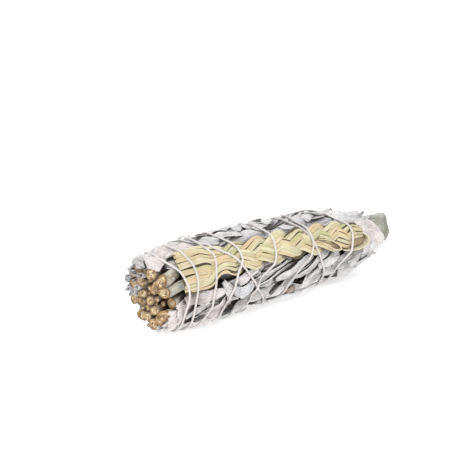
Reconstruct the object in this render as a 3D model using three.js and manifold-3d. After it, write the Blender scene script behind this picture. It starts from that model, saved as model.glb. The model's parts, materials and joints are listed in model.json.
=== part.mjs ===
// A white-sage smudge stick: dried sage sprigs laid side by side, a plait of sweetgrass along one side,
// and one length of cotton string wound out towards the tips and back again.
// Millimetres, +Z up. The stick lies on the floor along X, with its cut stems towards -X.
//
// Places in the bundle are given as s, the distance along it from the cut stems, as an angle round it in
// degrees (0 on top, 90 at the front, 180 underneath), and as a radius from its middle line.
import * as THREE from "three";
import { mergeVertices } from "three/addons/utils/BufferGeometryUtils.js";
import Module from "manifold-3d";

const wasm = await Module();
wasm.setup();

// The whole bundle
const STICK_LENGTH = 137;
const STEM_END_SHARE = 0.86; // the cut end is this share of the full thickness
const STEM_END_RUN = 22; // the thickness is full from here on
const TIP_END_SHARE = 0.74;
const TIP_END_RUN = 36;
// The tip is thinner on its upper side, most of all at the given angle
const TIP_SLOPE = { by: 0.33, from: 90, to: 132, angle: -30, halfAngle: 80 };
const FLAT_SHARE = 0.916; // how far the underside is pressed flat by the stick's weight
const SWELLS_TO = 0.75; // and it is smooth from this share of the way down
const RIPPLE = 0.013; // how far the bundle swells and narrows elsewhere, as a share of its thickness
const CLEARANCE = 0.3; // between pieces that rest on each other
const PRESSED_FLAT = 0.35; // how far the lowest places are pressed flat by the floor

// The stems, as they stand in the cut face: [angle, radius in the cut face, the stem's own radius]
const CUT_FACE = {
  centre: [[131, 3.8, 1.75]],
  inner: [
    [60.6, 6.3, 1.9], [132, 8.1, 1.75], [177, 9.9, 1.65], [221, 8.2, 1.7], [240.6, 4.5, 1.6], [308, 6.2, 1.9],
  ],
  outer: [
    [26.6, 10.1, 2.2], [53.5, 13.9, 2.4], [71, 13, 2.05], [95, 11.8, 2], [113, 13.7, 2.2], [132.4, 12.4, 2],
    [160, 13.5, 2.05], [203, 13, 2], [236, 12, 1.95], [268, 11.5, 2.15], [298, 12.2, 2], [335, 12, 2.1],
  ],
};
const RINGS = {
  centre: { radius: 0.01, first: 0, end: 100 },
  inner: { radius: 6.2, first: 60, end: 98 },
  outer: { radius: 11.5, first: 5, end: 97 },
};
const STEM_SETTLE_RUN = 14; // a stem has reached its place in its ring from here on
const STEM_TAPER = 0.5; // a stem's tip is this share of its foot
const STEM_SIDES = 7;
const STEM_HALF_ANGLE = 16; // that an outer stem takes up, as seen from the middle
const CUT_SETBACK = 1.45; // of the middle stems, and twice as much at the front
const CUT_SPREAD = 1.2;

// The leaves by kind: where the first starts, the step to the next, how far above the sprig's ring the inner
// face lies there, how it climbs along the leaf, and how wide the leaf is to each side in degrees
const LEAVES = {
  centre: { first: 22, step: 13, above: 2.4, climb: 0.02, length: 36, halfAngle: 40, sink: 0.9 },
  centreTip: { first: 94, step: 0, above: 1.3, climb: 0.07, length: 40, halfAngle: 42, sink: 0.9 },
  inner: { first: 20, step: 36, above: 2.2, climb: 0, length: 36, halfAngle: 26, sink: 0.2 },
  innerTip: { first: 91, step: 0, above: 0.3, climb: 0.07, length: 42, halfAngle: 26, sink: 0.2 },
  outer: { first: 2, step: 22, above: 2.0, climb: 0.122, length: 44, halfAngle: 25.5, sink: 0.4 },
  outerTip: { first: 90, step: 0, above: -0.3, climb: 0.025, length: 42, halfAngle: 12, sink: 0.4 },
};
const COARSE = { rows: 4, columns: 2 };
const FINE = { rows: 5, columns: 3 };
const LEAF_THICKNESS = 0.62;
const LEAF_ROOT_RUN = 7; // the first part of a leaf, which drops to its stem
const LAST_LEAF_START = 93;
const EDGE_WAVE = 0.08; // how uneven a leaf's edges are, as a share of its width
const LENGTH_SPREAD = 2;
const LEAN = 1; // degrees
// Leaves start a little way behind the cut face, and further behind it where the stems show at the front
const LEAVES_FROM = { elsewhere: 6, front: 10 };
const FRONT = { angle: 78, halfAngle: 50 };
const LEAF_BED_R = RINGS.outer.radius + LEAVES.outer.above;
const LEAF_TOP_R = LEAF_BED_R + LEAVES.outer.climb * LEAVES.outer.length + LEAF_THICKNESS;

// The plait of sweetgrass
const PLAIT_START = 8;
const PLAIT_ANGLE = { start: 51, end: 60, from: 45, to: 105 };
const PLAIT_END = 116;
const PLAITED_FROM = 27;
const PLAIT_BUMP = 11.43; // from one strand to the next along an edge
const PLAIT_FIRST_BUMP = 33;
const PLAIT_SWAY = 3.7;
const PLAIT_RISE = 1.1;
const PLAIT_BED_R = 19.8;
const STRAND_HALF_WIDTH = 3.4;
const STRAND_HALF_THICKNESS = 0.8;
const STRAND_SIDES = 6;
const STRAND_STEPS = 30;
const FAN_SPREAD = 5.9;
const PLAIT_SLOPE = [1.6, 1.4]; // how far within and beyond its edges the string climbs onto it
const FAN_ENDS = [0.6, -0.4, 0.2]; // how far each strand's square-cut end is set back
const PLAIT_DENT = 2.4; // how far the plait presses the leaves in
const PLAIT_DENT_HALF_ANGLE = 44;

// The string, whose route is a list of [s, angle] with the angle running on turn after turn
const STRING_R = 0.55;
const STRING_SIDES = 5;
const STRING_STEP = 12; // degrees
const STRING_ROUTE = [
  [5, -40], [3, 16], [6, 40], [9, 78], [8, 121], [8.5, 180], [10.5, 235], [16, 300], [21, 360], [27, 392],
  [36, 422], [45, 460], [51, 488], [56, 545], [61, 600], [69, 680], [73.5, 742], [78, 782], [85, 820],
  [88, 841], [89, 900], [91.5, 950], [97, 1060], [98.5, 1107], [103, 1133], [102, 1153], [96, 1185],
  [94, 1210], [94, 1275], [92, 1325], [86, 1375], [77, 1440], [76.5, 1480], [75, 1513], [67, 1536],
  [63, 1558], [63, 1632], [60, 1700], [56, 1770], [55, 1805], [56, 1840], [54, 1867], [45, 1895],
  [39, 1990], [34, 2110], [34, 2172], [37, 2208], [33, 2234], [28, 2269], [24.5, 2360], [21, 2500],
  [22, 2542], [25, 2562], [23, 2586], [20, 2619], [16.5, 2656], [14, 2760], [11.5, 2900], [14, 2930],
  [13, 2960], [12, 3008], [11.5, 3060], [10.5, 3100], [9, 3140],
];

const SAGE = 0xc9ccd2;
const SWEETGRASS = 0xd2cf9c;
const COTTON = 0xf2efe6;
const SEED = 20250611;

const radians = THREE.MathUtils.degToRad;
const degrees = THREE.MathUtils.radToDeg;
const { smoothstep, lerp, clamp, euclideanModulo } = THREE.MathUtils;

// A seeded source of numbers from 0 to 1.
function randomFrom(seed) {
  let state = seed >>> 0;
  return () => {
    state = (state + 0x6d2b79f5) >>> 0;
    let t = Math.imul(state ^ (state >>> 15), 1 | state);
    t = (t + Math.imul(t ^ (t >>> 7), 61 | t)) ^ t;
    return ((t ^ (t >>> 14)) >>> 0) / 4294967296;
  };
}
const random = randomFrom(SEED);
const jitter = (amount) => (2 * random() - 1) * amount;

// The difference between two angles, from -180 to 180.
function turn(from, to) {
  return euclideanModulo(to - from + 180, 360) - 180;
}

// Angle of the plait's middle line at s.
function plaitAngle(s) {
  const { start, end, from, to } = PLAIT_ANGLE;
  return lerp(start, end, smoothstep(s, from, to));
}

// The underside is pressed flat by the stick's weight.
function underside(angle) {
  const down = -Math.cos(radians(angle));
  return down > FLAT_SHARE ? FLAT_SHARE / down : 1;
}

// Share by which the tip is thinner on its upper side.
function tipSlope(s, angle) {
  const { by, from, to, angle: middle, halfAngle } = TIP_SLOPE;
  const off = Math.abs(turn(middle, angle));
  if (off > halfAngle) return 0;
  return by * smoothstep(s, from, to) * Math.cos((radians(90) * off) / halfAngle) ** 2;
}

// Share by which every radius is pressed in by the string and the plait, or swells, at s and angle.
function bound(s, angle) {
  const stemEnd = lerp(STEM_END_SHARE, 1, smoothstep(s, 0, STEM_END_RUN));
  const tipEnd = lerp(1, TIP_END_SHARE, clamp((s - STICK_LENGTH + TIP_END_RUN) / TIP_END_RUN, 0, 1) ** 2);
  const away = turn(plaitAngle(s), angle);
  const dented = Math.abs(away) < PLAIT_DENT_HALF_ANGLE;
  const hollow = dented ? Math.cos((radians(90) * away) / PLAIT_DENT_HALF_ANGLE) ** 2 : 0;
  const dent = (PLAIT_DENT / PLAIT_BED_R) * hollow * (1 - smoothstep(s, PLAIT_END - 6, PLAIT_END + 10));
  const free = 1 - smoothstep(-Math.cos(radians(angle)), SWELLS_TO, FLAT_SHARE);
  const swell = (RIPPLE * Math.sin(s / 9.5 + 0.6) + RIPPLE * Math.sin(radians(3 * angle) + s / 17)) * free;
  return stemEnd * tipEnd * (1 - tipSlope(s, angle)) * (1 - dent) * (1 + swell);
}

// The same with the underside pressed flat too.
function press(s, angle) {
  return bound(s, angle) * underside(angle);
}

// The point at s, angle and a radius that isn't pressed any more.
function onRound(s, angle, r) {
  return new THREE.Vector3(s - STICK_LENGTH / 2, -r * Math.sin(radians(angle)), r * Math.cos(radians(angle)));
}

// The point at s, angle and radius, in the stick's frame before it is stood on the floor.
function place(s, angle, radius) {
  return onRound(s, angle, radius * press(s, angle));
}

// A closed solid from a geometry whose vertices need not be shared.
function solid(geometry) {
  const bare = geometry.index ? geometry.toNonIndexed() : geometry.clone();
  bare.deleteAttribute("normal");
  bare.deleteAttribute("uv");
  const merged = mergeVertices(bare, 1e-4);
  return new wasm.Manifold(
    new wasm.Mesh({
      numProp: 3,
      vertProperties: merged.attributes.position.array,
      triVerts: new Uint32Array(merged.index.array),
    }),
  );
}

// The geometry of a solid.
function geometryOf(body) {
  const mesh = body.getMesh();
  const corners = new Float32Array(mesh.numVert * 3);
  for (let i = 0; i < mesh.numVert; i++) {
    corners.set(mesh.vertProperties.subarray(i * mesh.numProp, i * mesh.numProp + 3), i * 3);
  }
  const geometry = new THREE.BufferGeometry();
  geometry.setAttribute("position", new THREE.BufferAttribute(corners, 3));
  geometry.setIndex(new THREE.BufferAttribute(mesh.triVerts, 1));
  geometry.computeVertexNormals();
  return geometry;
}

// Moves every vertex of a geometry to where the function says.
function moved(geometry, to) {
  const at = geometry.attributes.position;
  const point = new THREE.Vector3();
  for (let i = 0; i < at.count; i++) {
    const there = to(point.fromBufferAttribute(at, i));
    at.setXYZ(i, there.x, there.y, there.z);
  }
  return geometry;
}

// A leaf's half width at share t of its length: narrow foot, widest past the middle, blunt tip.
function leafOutline(t) {
  return 0.16 + 0.84 * Math.sin(Math.PI * clamp(0.04 + 0.93 * t, 0, 1) ** 0.85) ** 0.8;
}

// Where a stem's middle is at s, as an angle and a radius: it settles from the cut face into its ring.
function stemAt({ cutAngle, cutR, angle, ringR }, s) {
  const share = smoothstep(s, 0, STEM_SETTLE_RUN);
  const onPlane = (a, r) => new THREE.Vector2(Math.cos(radians(a)), Math.sin(radians(a))).multiplyScalar(r);
  const here = onPlane(cutAngle, cutR / press(0, cutAngle)).lerp(onPlane(angle, ringR), share);
  return { angle: degrees(here.angle()), radius: here.length() };
}

// The radius of a leaf's inner face at s.
function leafRadius({ foot, start, from, above, climb, sink }, s) {
  const level = foot.ringR + above + climb * (s - start);
  return lerp(stemAt(foot, s).radius + sink, level, smoothstep(s - from, 0, LEAF_ROOT_RUN));
}

// One leaf, as a closed slab with uneven edges. Its root is sunk in the stem.
function leaf(shape) {
  const { foot, angle, from, length, halfAngle, rows, columns, lean, edge } = shape;
  const slab = new THREE.BoxGeometry(2, 1, 1, columns, 1, rows).translate(0, 0.5, 0.5);
  return moved(slab, ({ x, y, z }) => {
    const s = from + z * length;
    const uneven = 1 + edge[2 * Math.round(z * rows) + (x > 0 ? 1 : 0)];
    const across = -x * halfAngle * leafOutline(z) * uneven + lean * z;
    const fromStem = turn(angle, stemAt(foot, s).angle) * (1 - smoothstep(s - from, 0, LEAF_ROOT_RUN));
    return place(s, angle + fromStem + across, leafRadius(shape, s) + y * LEAF_THICKNESS);
  });
}

// A stem from its cut face to its tip, as a turned profile bent along the bundle.
function stem({ spare = 0, ...foot }) {
  const { cut, end } = foot;
  const radius = foot.radius + spare;
  const profile = [
    new THREE.Vector2(0, cut),
    new THREE.Vector2(radius, cut),
    new THREE.Vector2(radius, lerp(cut, STEM_SETTLE_RUN, 0.35)),
    new THREE.Vector2(radius * 0.97, lerp(cut, STEM_SETTLE_RUN, 0.7)),
    new THREE.Vector2(radius * 0.94, STEM_SETTLE_RUN),
    new THREE.Vector2(radius * lerp(1, STEM_TAPER, 0.6), lerp(cut, end, 0.6)),
    new THREE.Vector2(radius * STEM_TAPER, end),
    new THREE.Vector2(0, end),
  ];
  return moved(new THREE.LatheGeometry(profile, STEM_SIDES), ({ x, y, z }) => {
    const middle = stemAt(foot, y);
    return place(y, middle.angle, middle.radius).add(new THREE.Vector3(0, z, x));
  });
}

// The stem of one sprig of a ring. Those at the front were cut a little shorter.
function footOf(ring, i) {
  const [cutAngle, cutR, radius] = CUT_FACE[ring][i];
  const { radius: ringR, first, end } = RINGS[ring];
  const towardsFront = (cutR * Math.sin(radians(cutAngle))) / RINGS.outer.radius;
  const cut = CUT_SETBACK * (1 + towardsFront) + jitter(CUT_SPREAD);
  return { cutAngle, cutR, radius, cut, end, ringR, angle: first + (i * 360) / CUT_FACE[ring].length };
}

// The largest body of a solid.
function largest(body) {
  return body.decompose().reduce((best, one) => (one.volume() > best.volume() ? one : best));
}

// A stem and the leaves that grow from it, joined in one solid. Leaves near the cut face are notched
// where a neighbour's stem passes.
function sprig(foot, leaves, others) {
  const around = others.map((other) => solid(stem({ ...other, spare: CLEARANCE })));
  const blades = leaves.map((shape) => {
    const blade = solid(leaf({ ...shape, foot }));
    const notched = around.reduce((body, one) => (crosses(body, one) ? body.subtract(one) : body), blade);
    return largest(notched);
  });
  return blades.reduce((body, blade) => body.add(blade), solid(stem(foot)));
}

// Whether two solids share more than a trace of space.
function crosses(a, b) {
  return a.intersect(b).volume() > 1e-4;
}

// One leaf of a sprig: of that kind, starting at start, at that angle, and growing free of the stem at from.
function leafOf(kind, angle, start, mesh, from = start) {
  const { length, halfAngle, ...rest } = LEAVES[kind];
  const end = Math.min(start + length, STICK_LENGTH - 1) + jitter(LENGTH_SPREAD);
  const edge = Array.from({ length: 2 * mesh.rows + 2 }, () => jitter(EDGE_WAVE));
  return { ...rest, ...mesh, angle, start, from, length: end - from, halfAngle, edge, lean: jitter(LEAN) };
}

// The sprig in the middle, with leaves to three sides and a whorl of three at its end.
function centreSprig() {
  const foot = footOf("centre", 0);
  const leaves = [0, 1, 2].flatMap((i) => {
    const angle = 30 + i * 120;
    const side = leafOf("centre", angle, LEAVES.centre.first + i * LEAVES.centre.step, COARSE);
    return [side, leafOf("centreTip", angle, LEAVES.centreTip.first, COARSE)];
  });
  return { foot, leaves };
}

// A sprig of the inner ring: two leaves on the way and one at its end.
function innerSprig(i) {
  const foot = footOf("inner", i);
  const { first, step } = LEAVES.inner;
  const leaves = [first, first + step].map((start) => leafOf("inner", foot.angle, start, COARSE));
  leaves.push(leafOf("innerTip", foot.angle, LEAVES.innerTip.first, COARSE));
  return { foot, leaves };
}

// A sprig of the outer ring: its leaves lie on each other like shingles, tips outwards. Every other sprig is
// half a step further on, so that its leaves lie between those of its neighbours.
function outerSprig(i) {
  const foot = footOf("outer", i);
  const front = Math.abs(turn(FRONT.angle, foot.angle)) < FRONT.halfAngle;
  const bareTo = front ? LEAVES_FROM.front : LEAVES_FROM.elsewhere;
  const { first, step } = LEAVES.outer;
  const leaves = [];
  for (let start = first - (i % 2) * (step / 2); start < LAST_LEAF_START; start += step) {
    const from = Math.max(start, bareTo);
    if (from - start < step / 2) leaves.push(leafOf("outer", foot.angle, start, FINE, from));
  }
  leaves.push(leafOf("outerTip", foot.angle, LEAVES.outerTip.first, COARSE));
  return { foot, leaves };
}

const sprigs = new Map();
sprigs.set("sage_sprig_centre", centreSprig());
CUT_FACE.inner.forEach((_, i) => sprigs.set(`sage_sprig_inner_${i + 1}`, innerSprig(i)));
CUT_FACE.outer.forEach((_, i) => sprigs.set(`sage_sprig_outer_${i + 1}`, outerSprig(i)));
const allFeet = [...sprigs.values()].map(({ foot }) => foot);
const allLeaves = [...sprigs.values()].flatMap(({ foot, leaves }) => leaves.map((one) => ({ ...one, foot })));

// The outermost radius of the stems and leaves at s and angle.
function leafTop(s, angle) {
  let top = LEAF_BED_R;
  for (const foot of allFeet) {
    const here = stemAt(foot, s);
    const over = Math.abs(turn(here.angle, angle)) < STEM_HALF_ANGLE;
    if (over) top = Math.max(top, here.radius + foot.radius / STEM_END_SHARE);
  }
  for (const shape of allLeaves) {
    const t = (s - shape.from) / shape.length;
    const within = t > -0.03 && t < 1.03;
    if (within && Math.abs(turn(shape.angle, angle)) < shape.halfAngle * 1.1 + 1) {
      top = Math.max(top, leafRadius(shape, s) + LEAF_THICKNESS);
    }
  }
  return top;
}

// How far the strands are plaited at s, from 0 side by side to 1.
function plaitedShare(s) {
  return smoothstep(s, PLAITED_FROM - 9, PLAITED_FROM + 3);
}

// One strand of the plait: it lies flat beside the others first, then sways and dips through them.
function strandPlace(k, s) {
  const phase = (2 * Math.PI * (s - PLAIT_FIRST_BUMP)) / (3 * PLAIT_BUMP) + (k * 2 * Math.PI) / 3;
  const plaited = plaitedShare(s);
  const closing = 1 - 0.45 * smoothstep(s, PLAIT_END - 12, PLAIT_END);
  return {
    side: lerp(FAN_SPREAD * [1, 0, -1][k], PLAIT_SWAY * Math.cos(phase), plaited) * closing,
    rise: -PLAIT_RISE * Math.sin(2 * phase) * plaited * closing,
  };
}

function strand(k) {
  const ring = [];
  for (let j = 0; j < STRAND_SIDES; j++) {
    const a = (-2 * Math.PI * j) / STRAND_SIDES;
    ring.push(new THREE.Vector2(Math.cos(a), Math.sin(a)));
  }
  const closing = (s) => 1 - 0.5 * smoothstep(s, PLAIT_END - 14, PLAIT_END);
  return moved(tube(STRAND_STEPS, ring), ({ x, y, z }) => {
    const s = lerp(PLAIT_START, PLAIT_END, z) + (z === 0 ? FAN_ENDS[k] : 0);
    const { side, rise } = strandPlace(k, s);
    const across = side + x * STRAND_HALF_WIDTH * closing(s);
    const up = PLAIT_RISE + STRAND_HALF_THICKNESS + rise + y * STRAND_HALF_THICKNESS;
    return place(s, plaitAngle(s) + degrees(across / PLAIT_BED_R), PLAIT_BED_R + up);
  });
}

// The plait as one solid.
function plait() {
  return [0, 1, 2].map((k) => solid(strand(k))).reduce((body, one) => body.add(one));
}

// How far the plait's outer face stands above its bed at s and angle, with a slope on either side.
function plaitTop(s, angle) {
  const along = smoothstep(s, PLAIT_START - 3, PLAIT_START) * (1 - smoothstep(s, PLAIT_END, PLAIT_END + 3));
  const off = Math.abs(radians(turn(plaitAngle(s), angle))) * PLAIT_BED_R;
  const reach = lerp(FAN_SPREAD, PLAIT_SWAY, plaitedShare(s)) + STRAND_HALF_WIDTH;
  const height = 2 * STRAND_HALF_THICKNESS + PLAIT_RISE * (1 + plaitedShare(s));
  return height * along * (1 - smoothstep(off, reach - PLAIT_SLOPE[0], reach + PLAIT_SLOPE[1]));
}

// The string's route, thinned to even steps of angle: [s, angle] at each step.
function stringSteps() {
  const points = STRING_ROUTE.map(([s, angle]) => new THREE.Vector3(s, angle / STRING_STEP, 0));
  const curve = new THREE.CatmullRomCurve3(points, false, "centripetal");
  const fine = curve.getPoints(STRING_ROUTE.length * 40);
  const [first, last] = [STRING_ROUTE[0][1], STRING_ROUTE.at(-1)[1]];
  const count = Math.round((last - first) / STRING_STEP);
  const steps = [];
  let at = 0;
  for (let i = 0; i <= count; i++) {
    const angle = lerp(first, last, i / count);
    while (at < fine.length - 2 && fine[at + 1].y * STRING_STEP < angle) at++;
    const share = (angle / STRING_STEP - fine[at].y) / (fine[at + 1].y - fine[at].y);
    steps.push([lerp(fine[at].x, fine[at + 1].x, clamp(share, 0, 1)), angle]);
  }
  return steps;
}

// How far the string must rise at a step to pass over its own earlier turns.
function passOver(steps, i) {
  const [s, angle] = steps[i];
  let nearest = Infinity;
  for (let j = 0; j < i && steps[j][1] < angle - 180; j++) {
    for (const share of [0, 0.25, 0.5, 0.75]) {
      const other = [lerp(steps[j][0], steps[j + 1][0], share), lerp(steps[j][1], steps[j + 1][1], share)];
      const apart = Math.hypot(other[0] - s, radians(turn(other[1], angle)) * PLAIT_BED_R);
      nearest = Math.min(nearest, apart);
    }
  }
  return (2 * STRING_R + CLEARANCE) * (1 - smoothstep(nearest, 2 * STRING_R + 0.4, 4));
}

// The string as one solid: a round cord over the leaves and the plait.
function string() {
  const steps = stringSteps();
  const beds = steps.map(([s, angle]) => {
    let bed = 0;
    for (const ds of [-2, -1, 0, 1, 2]) {
      for (const da of [-6, -3, 0, 3, 6]) {
        const onPlait = plaitTop(s + ds, angle + da);
        const onFloor = underside(angle + da) < 1 ? LEAF_TOP_R : 0;
        const top = Math.max(leafTop(s + ds, angle + da), onPlait > 0 ? PLAIT_BED_R + onPlait : 0, onFloor);
        bed = Math.max(bed, top * bound(s + ds, angle + da));
      }
    }
    return bed;
  });
  const around = (list, i) => list.slice(Math.max(i - 1, 0), i + 2);
  const highest = beds.map((_, i) => Math.max(...around(beds, i)));
  const path = steps.map(([s, angle], i) => {
    const bed = around(highest, i).reduce((sum, one) => sum + one) / around(highest, i).length;
    return onRound(s, angle, (bed + CLEARANCE + STRING_R + passOver(steps, i)) * underside(angle));
  });
  const frames = path.map((point, i) => {
    const along = path[Math.min(i + 1, path.length - 1)].clone().sub(path[Math.max(i - 1, 0)]).normalize();
    const out = new THREE.Vector3(0, point.y, point.z).normalize();
    const side = new THREE.Vector3().crossVectors(along, out).normalize();
    return { point, side, up: new THREE.Vector3().crossVectors(side, along) };
  });
  const ring = [];
  for (let j = 0; j < STRING_SIDES; j++) {
    const a = (-2 * Math.PI * j) / STRING_SIDES;
    ring.push(new THREE.Vector2(Math.cos(a), Math.sin(a)).multiplyScalar(STRING_R));
  }
  return solid(moved(tube(path.length - 1, ring), ({ x, y, z }) => {
    const { point, side, up } = frames[Math.round(z * (path.length - 1))];
    return point.clone().addScaledVector(side, x).addScaledVector(up, y);
  }));
}

// A closed tube of unit length along z, with the given ring of points as its section.
function tube(steps, ring) {
  const corners = [];
  const faces = [];
  const n = ring.length;
  for (let i = 0; i <= steps; i++) for (const { x, y } of ring) corners.push(x, y, i / steps);
  for (let i = 0; i < steps; i++) {
    for (let j = 0; j < n; j++) {
      const [a, b] = [i * n + j, i * n + ((j + 1) % n)];
      faces.push(a, b, b + n, a, b + n, a + n);
    }
  }
  for (let j = 1; j < n - 1; j++) faces.push(0, j + 1, j, steps * n, steps * n + j, steps * n + j + 1);
  const geometry = new THREE.BufferGeometry();
  geometry.setAttribute("position", new THREE.Float32BufferAttribute(corners, 3));
  geometry.setIndex(faces);
  return geometry;
}

// Every piece of the stick by its node's name.
const pieces = new Map();
for (const [name, { foot, leaves }] of sprigs) {
  const others = allFeet.filter((other) => other !== foot);
  pieces.set(name, { body: sprig(foot, leaves, others), color: SAGE });
}
pieces.set("sweetgrass_plait", { body: plait(), color: SWEETGRASS });
pieces.set("cotton_string", { body: string(), color: COTTON });

// The stick is stood on the floor, where what touches is pressed flat, and centred over the origin.
const stretch = new THREE.Box3();
for (const { body } of pieces.values()) {
  const { min, max } = body.boundingBox();
  stretch.union(new THREE.Box3(new THREE.Vector3(...min), new THREE.Vector3(...max)));
}
const floor = stretch.min.z + PRESSED_FLAT;
const middle = stretch.getCenter(new THREE.Vector3());

const stick = new THREE.Group();
stick.name = "sage_smudge_stick";
for (const [name, { body, color }] of pieces) {
  const stood = largest(body.trimByPlane([0, 0, 1], floor)).translate(-middle.x, -middle.y, -floor);
  const mesh = new THREE.Mesh(geometryOf(stood), new THREE.MeshStandardMaterial({ color, roughness: 0.9 }));
  mesh.name = name;
  stick.add(mesh);
}

export default stick;
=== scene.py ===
"""A white-sage smudge stick, dressed: crumpled dried leaves on woody stems, a sweetgrass plait and cotton string.

Places in the bundle are given as s, the distance along it from the cut stems, as an angle round it (0 on top,
90 at the front, 180 underneath) and as a radius from its middle line. They are in millimetres and degrees until
Bundle.to_world turns them into metres.
"""
import json
import logging
import math
import random
from collections.abc import Sequence
from dataclasses import dataclass, field
from enum import Enum

import bmesh
import bpy
import numpy as np
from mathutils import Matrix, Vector

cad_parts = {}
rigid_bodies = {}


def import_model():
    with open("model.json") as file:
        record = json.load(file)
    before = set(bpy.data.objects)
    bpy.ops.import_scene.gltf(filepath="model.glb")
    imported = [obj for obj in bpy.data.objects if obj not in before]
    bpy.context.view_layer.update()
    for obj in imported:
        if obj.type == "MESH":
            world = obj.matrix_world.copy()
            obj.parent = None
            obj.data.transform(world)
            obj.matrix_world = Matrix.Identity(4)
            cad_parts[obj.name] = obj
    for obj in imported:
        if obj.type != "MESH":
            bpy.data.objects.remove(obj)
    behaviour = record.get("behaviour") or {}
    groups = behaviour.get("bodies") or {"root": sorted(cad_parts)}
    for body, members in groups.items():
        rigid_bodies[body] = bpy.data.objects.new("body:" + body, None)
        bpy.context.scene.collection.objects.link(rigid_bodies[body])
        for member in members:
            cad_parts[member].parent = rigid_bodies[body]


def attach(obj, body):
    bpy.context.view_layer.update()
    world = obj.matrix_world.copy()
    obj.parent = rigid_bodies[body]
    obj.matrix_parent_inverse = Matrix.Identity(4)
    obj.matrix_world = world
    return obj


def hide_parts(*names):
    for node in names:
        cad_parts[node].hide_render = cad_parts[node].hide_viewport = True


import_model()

log = logging.getLogger("smudge_stick")

MM = 0.001
AXIS_Y = 0.726
AXIS_Z = 19.23
Array = np.ndarray


def smoothstep(x: Array | float, low: float, high: float) -> Array:
    """Ease from 0 at low to 1 at high."""
    t = np.clip((np.asarray(x, dtype=float) - low) / (high - low), 0.0, 1.0)
    return t * t * (3.0 - 2.0 * t)


def zigzag(x: Array) -> Array:
    """Give a fold that rises and falls in straight lines between 0 and 1, once for every 2."""
    return np.abs(np.mod(x, 2.0) - 1.0)


def turn(a: Array | float, b: Array | float) -> Array:
    """Give the angle from a to b, between -180 and 180."""
    return (np.asarray(b, dtype=float) - a + 180.0) % 360.0 - 180.0


def blurred(grid: Array, axis: int, reach: int, wraps: bool) -> Array:
    """Average a grid along one axis.

    Args:
        grid: the grid of values.
        axis: 0 along the bundle, 1 round it.
        reach: cells to either side.
        wraps: whether the axis closes on itself.

    Returns:
        The averaged grid.
    """
    pad = [(0, 0), (0, 0)]
    pad[axis] = (reach, reach)
    wide = np.pad(grid, pad, mode="wrap" if wraps else "edge")
    total = sum(np.roll(wide, k, axis) for k in range(-reach, reach + 1)) / (2 * reach + 1)
    cut = [slice(None), slice(None)]
    cut[axis] = slice(reach, -reach)
    return total[tuple(cut)]


def dilated(grid: Array, axis: int, reach: int, wraps: bool) -> Array:
    """Take the highest value within reach of each cell along one axis.

    Args:
        grid: the grid of values.
        axis: 0 along the bundle, 1 round it.
        reach: cells to either side.
        wraps: whether the axis closes on itself.

    Returns:
        The raised grid.
    """
    pad = [(0, 0), (0, 0)]
    pad[axis] = (reach, reach)
    wide = np.pad(grid, pad, mode="wrap" if wraps else "edge")
    top = wide
    for k in range(-reach, reach + 1):
        top = np.maximum(top, np.roll(wide, k, axis))
    cut = [slice(None), slice(None)]
    cut[axis] = slice(reach, -reach)
    return top[tuple(cut)]


class HeightField:
    """The outermost radius that has been filled at each place of the bundle, unrolled."""

    s_low = -4.0
    s_high = 143.0
    s_cell = 0.5
    angle_cell = 1.0

    def __init__(self, start: float) -> None:
        """Start with one radius everywhere.

        Args:
            start: that radius.
        """
        self.rows = int((self.s_high - self.s_low) / self.s_cell) + 1
        self.columns = int(360 / self.angle_cell)
        self.grid = np.full((self.rows, self.columns), float(start))
        self.s = self.s_low + self.s_cell * np.arange(self.rows)[:, None]
        self.angle = self.angle_cell * np.arange(self.columns)[None, :]

    def at(self, s: Array, angle: Array, grid: Array | None = None) -> Array:
        """Read the field between its cells.

        Args:
            s: distances along the bundle.
            angle: angles round it.
            grid: another grid of the same shape to read instead.

        Returns:
            The value at each place.
        """
        grid = self.grid if grid is None else grid
        i = np.clip((np.asarray(s, dtype=float) - self.s_low) / self.s_cell, 0, self.rows - 1.001)
        j = (np.asarray(angle, dtype=float) % 360.0) / self.angle_cell
        i0, j0 = i.astype(int), j.astype(int) % self.columns
        j1 = (j0 + 1) % self.columns
        fi, fj = i - i0, j - np.floor(j)
        low = grid[i0, j0] * (1 - fj) + grid[i0, j1] * fj
        high = grid[i0 + 1, j0] * (1 - fj) + grid[i0 + 1, j1] * fj
        return low * (1 - fi) + high * fi

    def fill(self, s: Array, angle: Array, radius: Array) -> None:
        """Raise the field to a sheet's outer face.

        Args:
            s: distances along the bundle, as a grid.
            angle: angles round it.
            radius: radii of the outer face.
        """
        fine = [self._finer(np.asarray(a, dtype=float)) for a in (s, angle, radius)]
        i = np.clip(np.rint((fine[0] - self.s_low) / self.s_cell).astype(int), 0, self.rows - 1)
        j = np.rint(fine[1] / self.angle_cell).astype(int) % self.columns
        np.maximum.at(self.grid, (i, j), fine[2])

    @staticmethod
    def _finer(a: Array, times: int = 5) -> Array:
        """Put points between those of a grid.

        Args:
            a: the grid.
            times: steps for each of its own.

        Returns:
            The finer grid.
        """
        for axis in (0, 1):
            n = a.shape[axis]
            at = np.linspace(0, n - 1, (n - 1) * times + 1)
            low = np.minimum(at.astype(int), n - 2)
            share = (at - low).reshape([-1, 1] if axis == 0 else [1, -1])
            a = np.take(a, low, axis) * (1 - share) + np.take(a, low + 1, axis) * share
        return a

    def tops(self, reach: int = 1) -> Array:
        """Give the field with each cell raised to its highest neighbour."""
        return dilated(dilated(self.grid, 0, reach, False), 1, reach, True)


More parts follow.
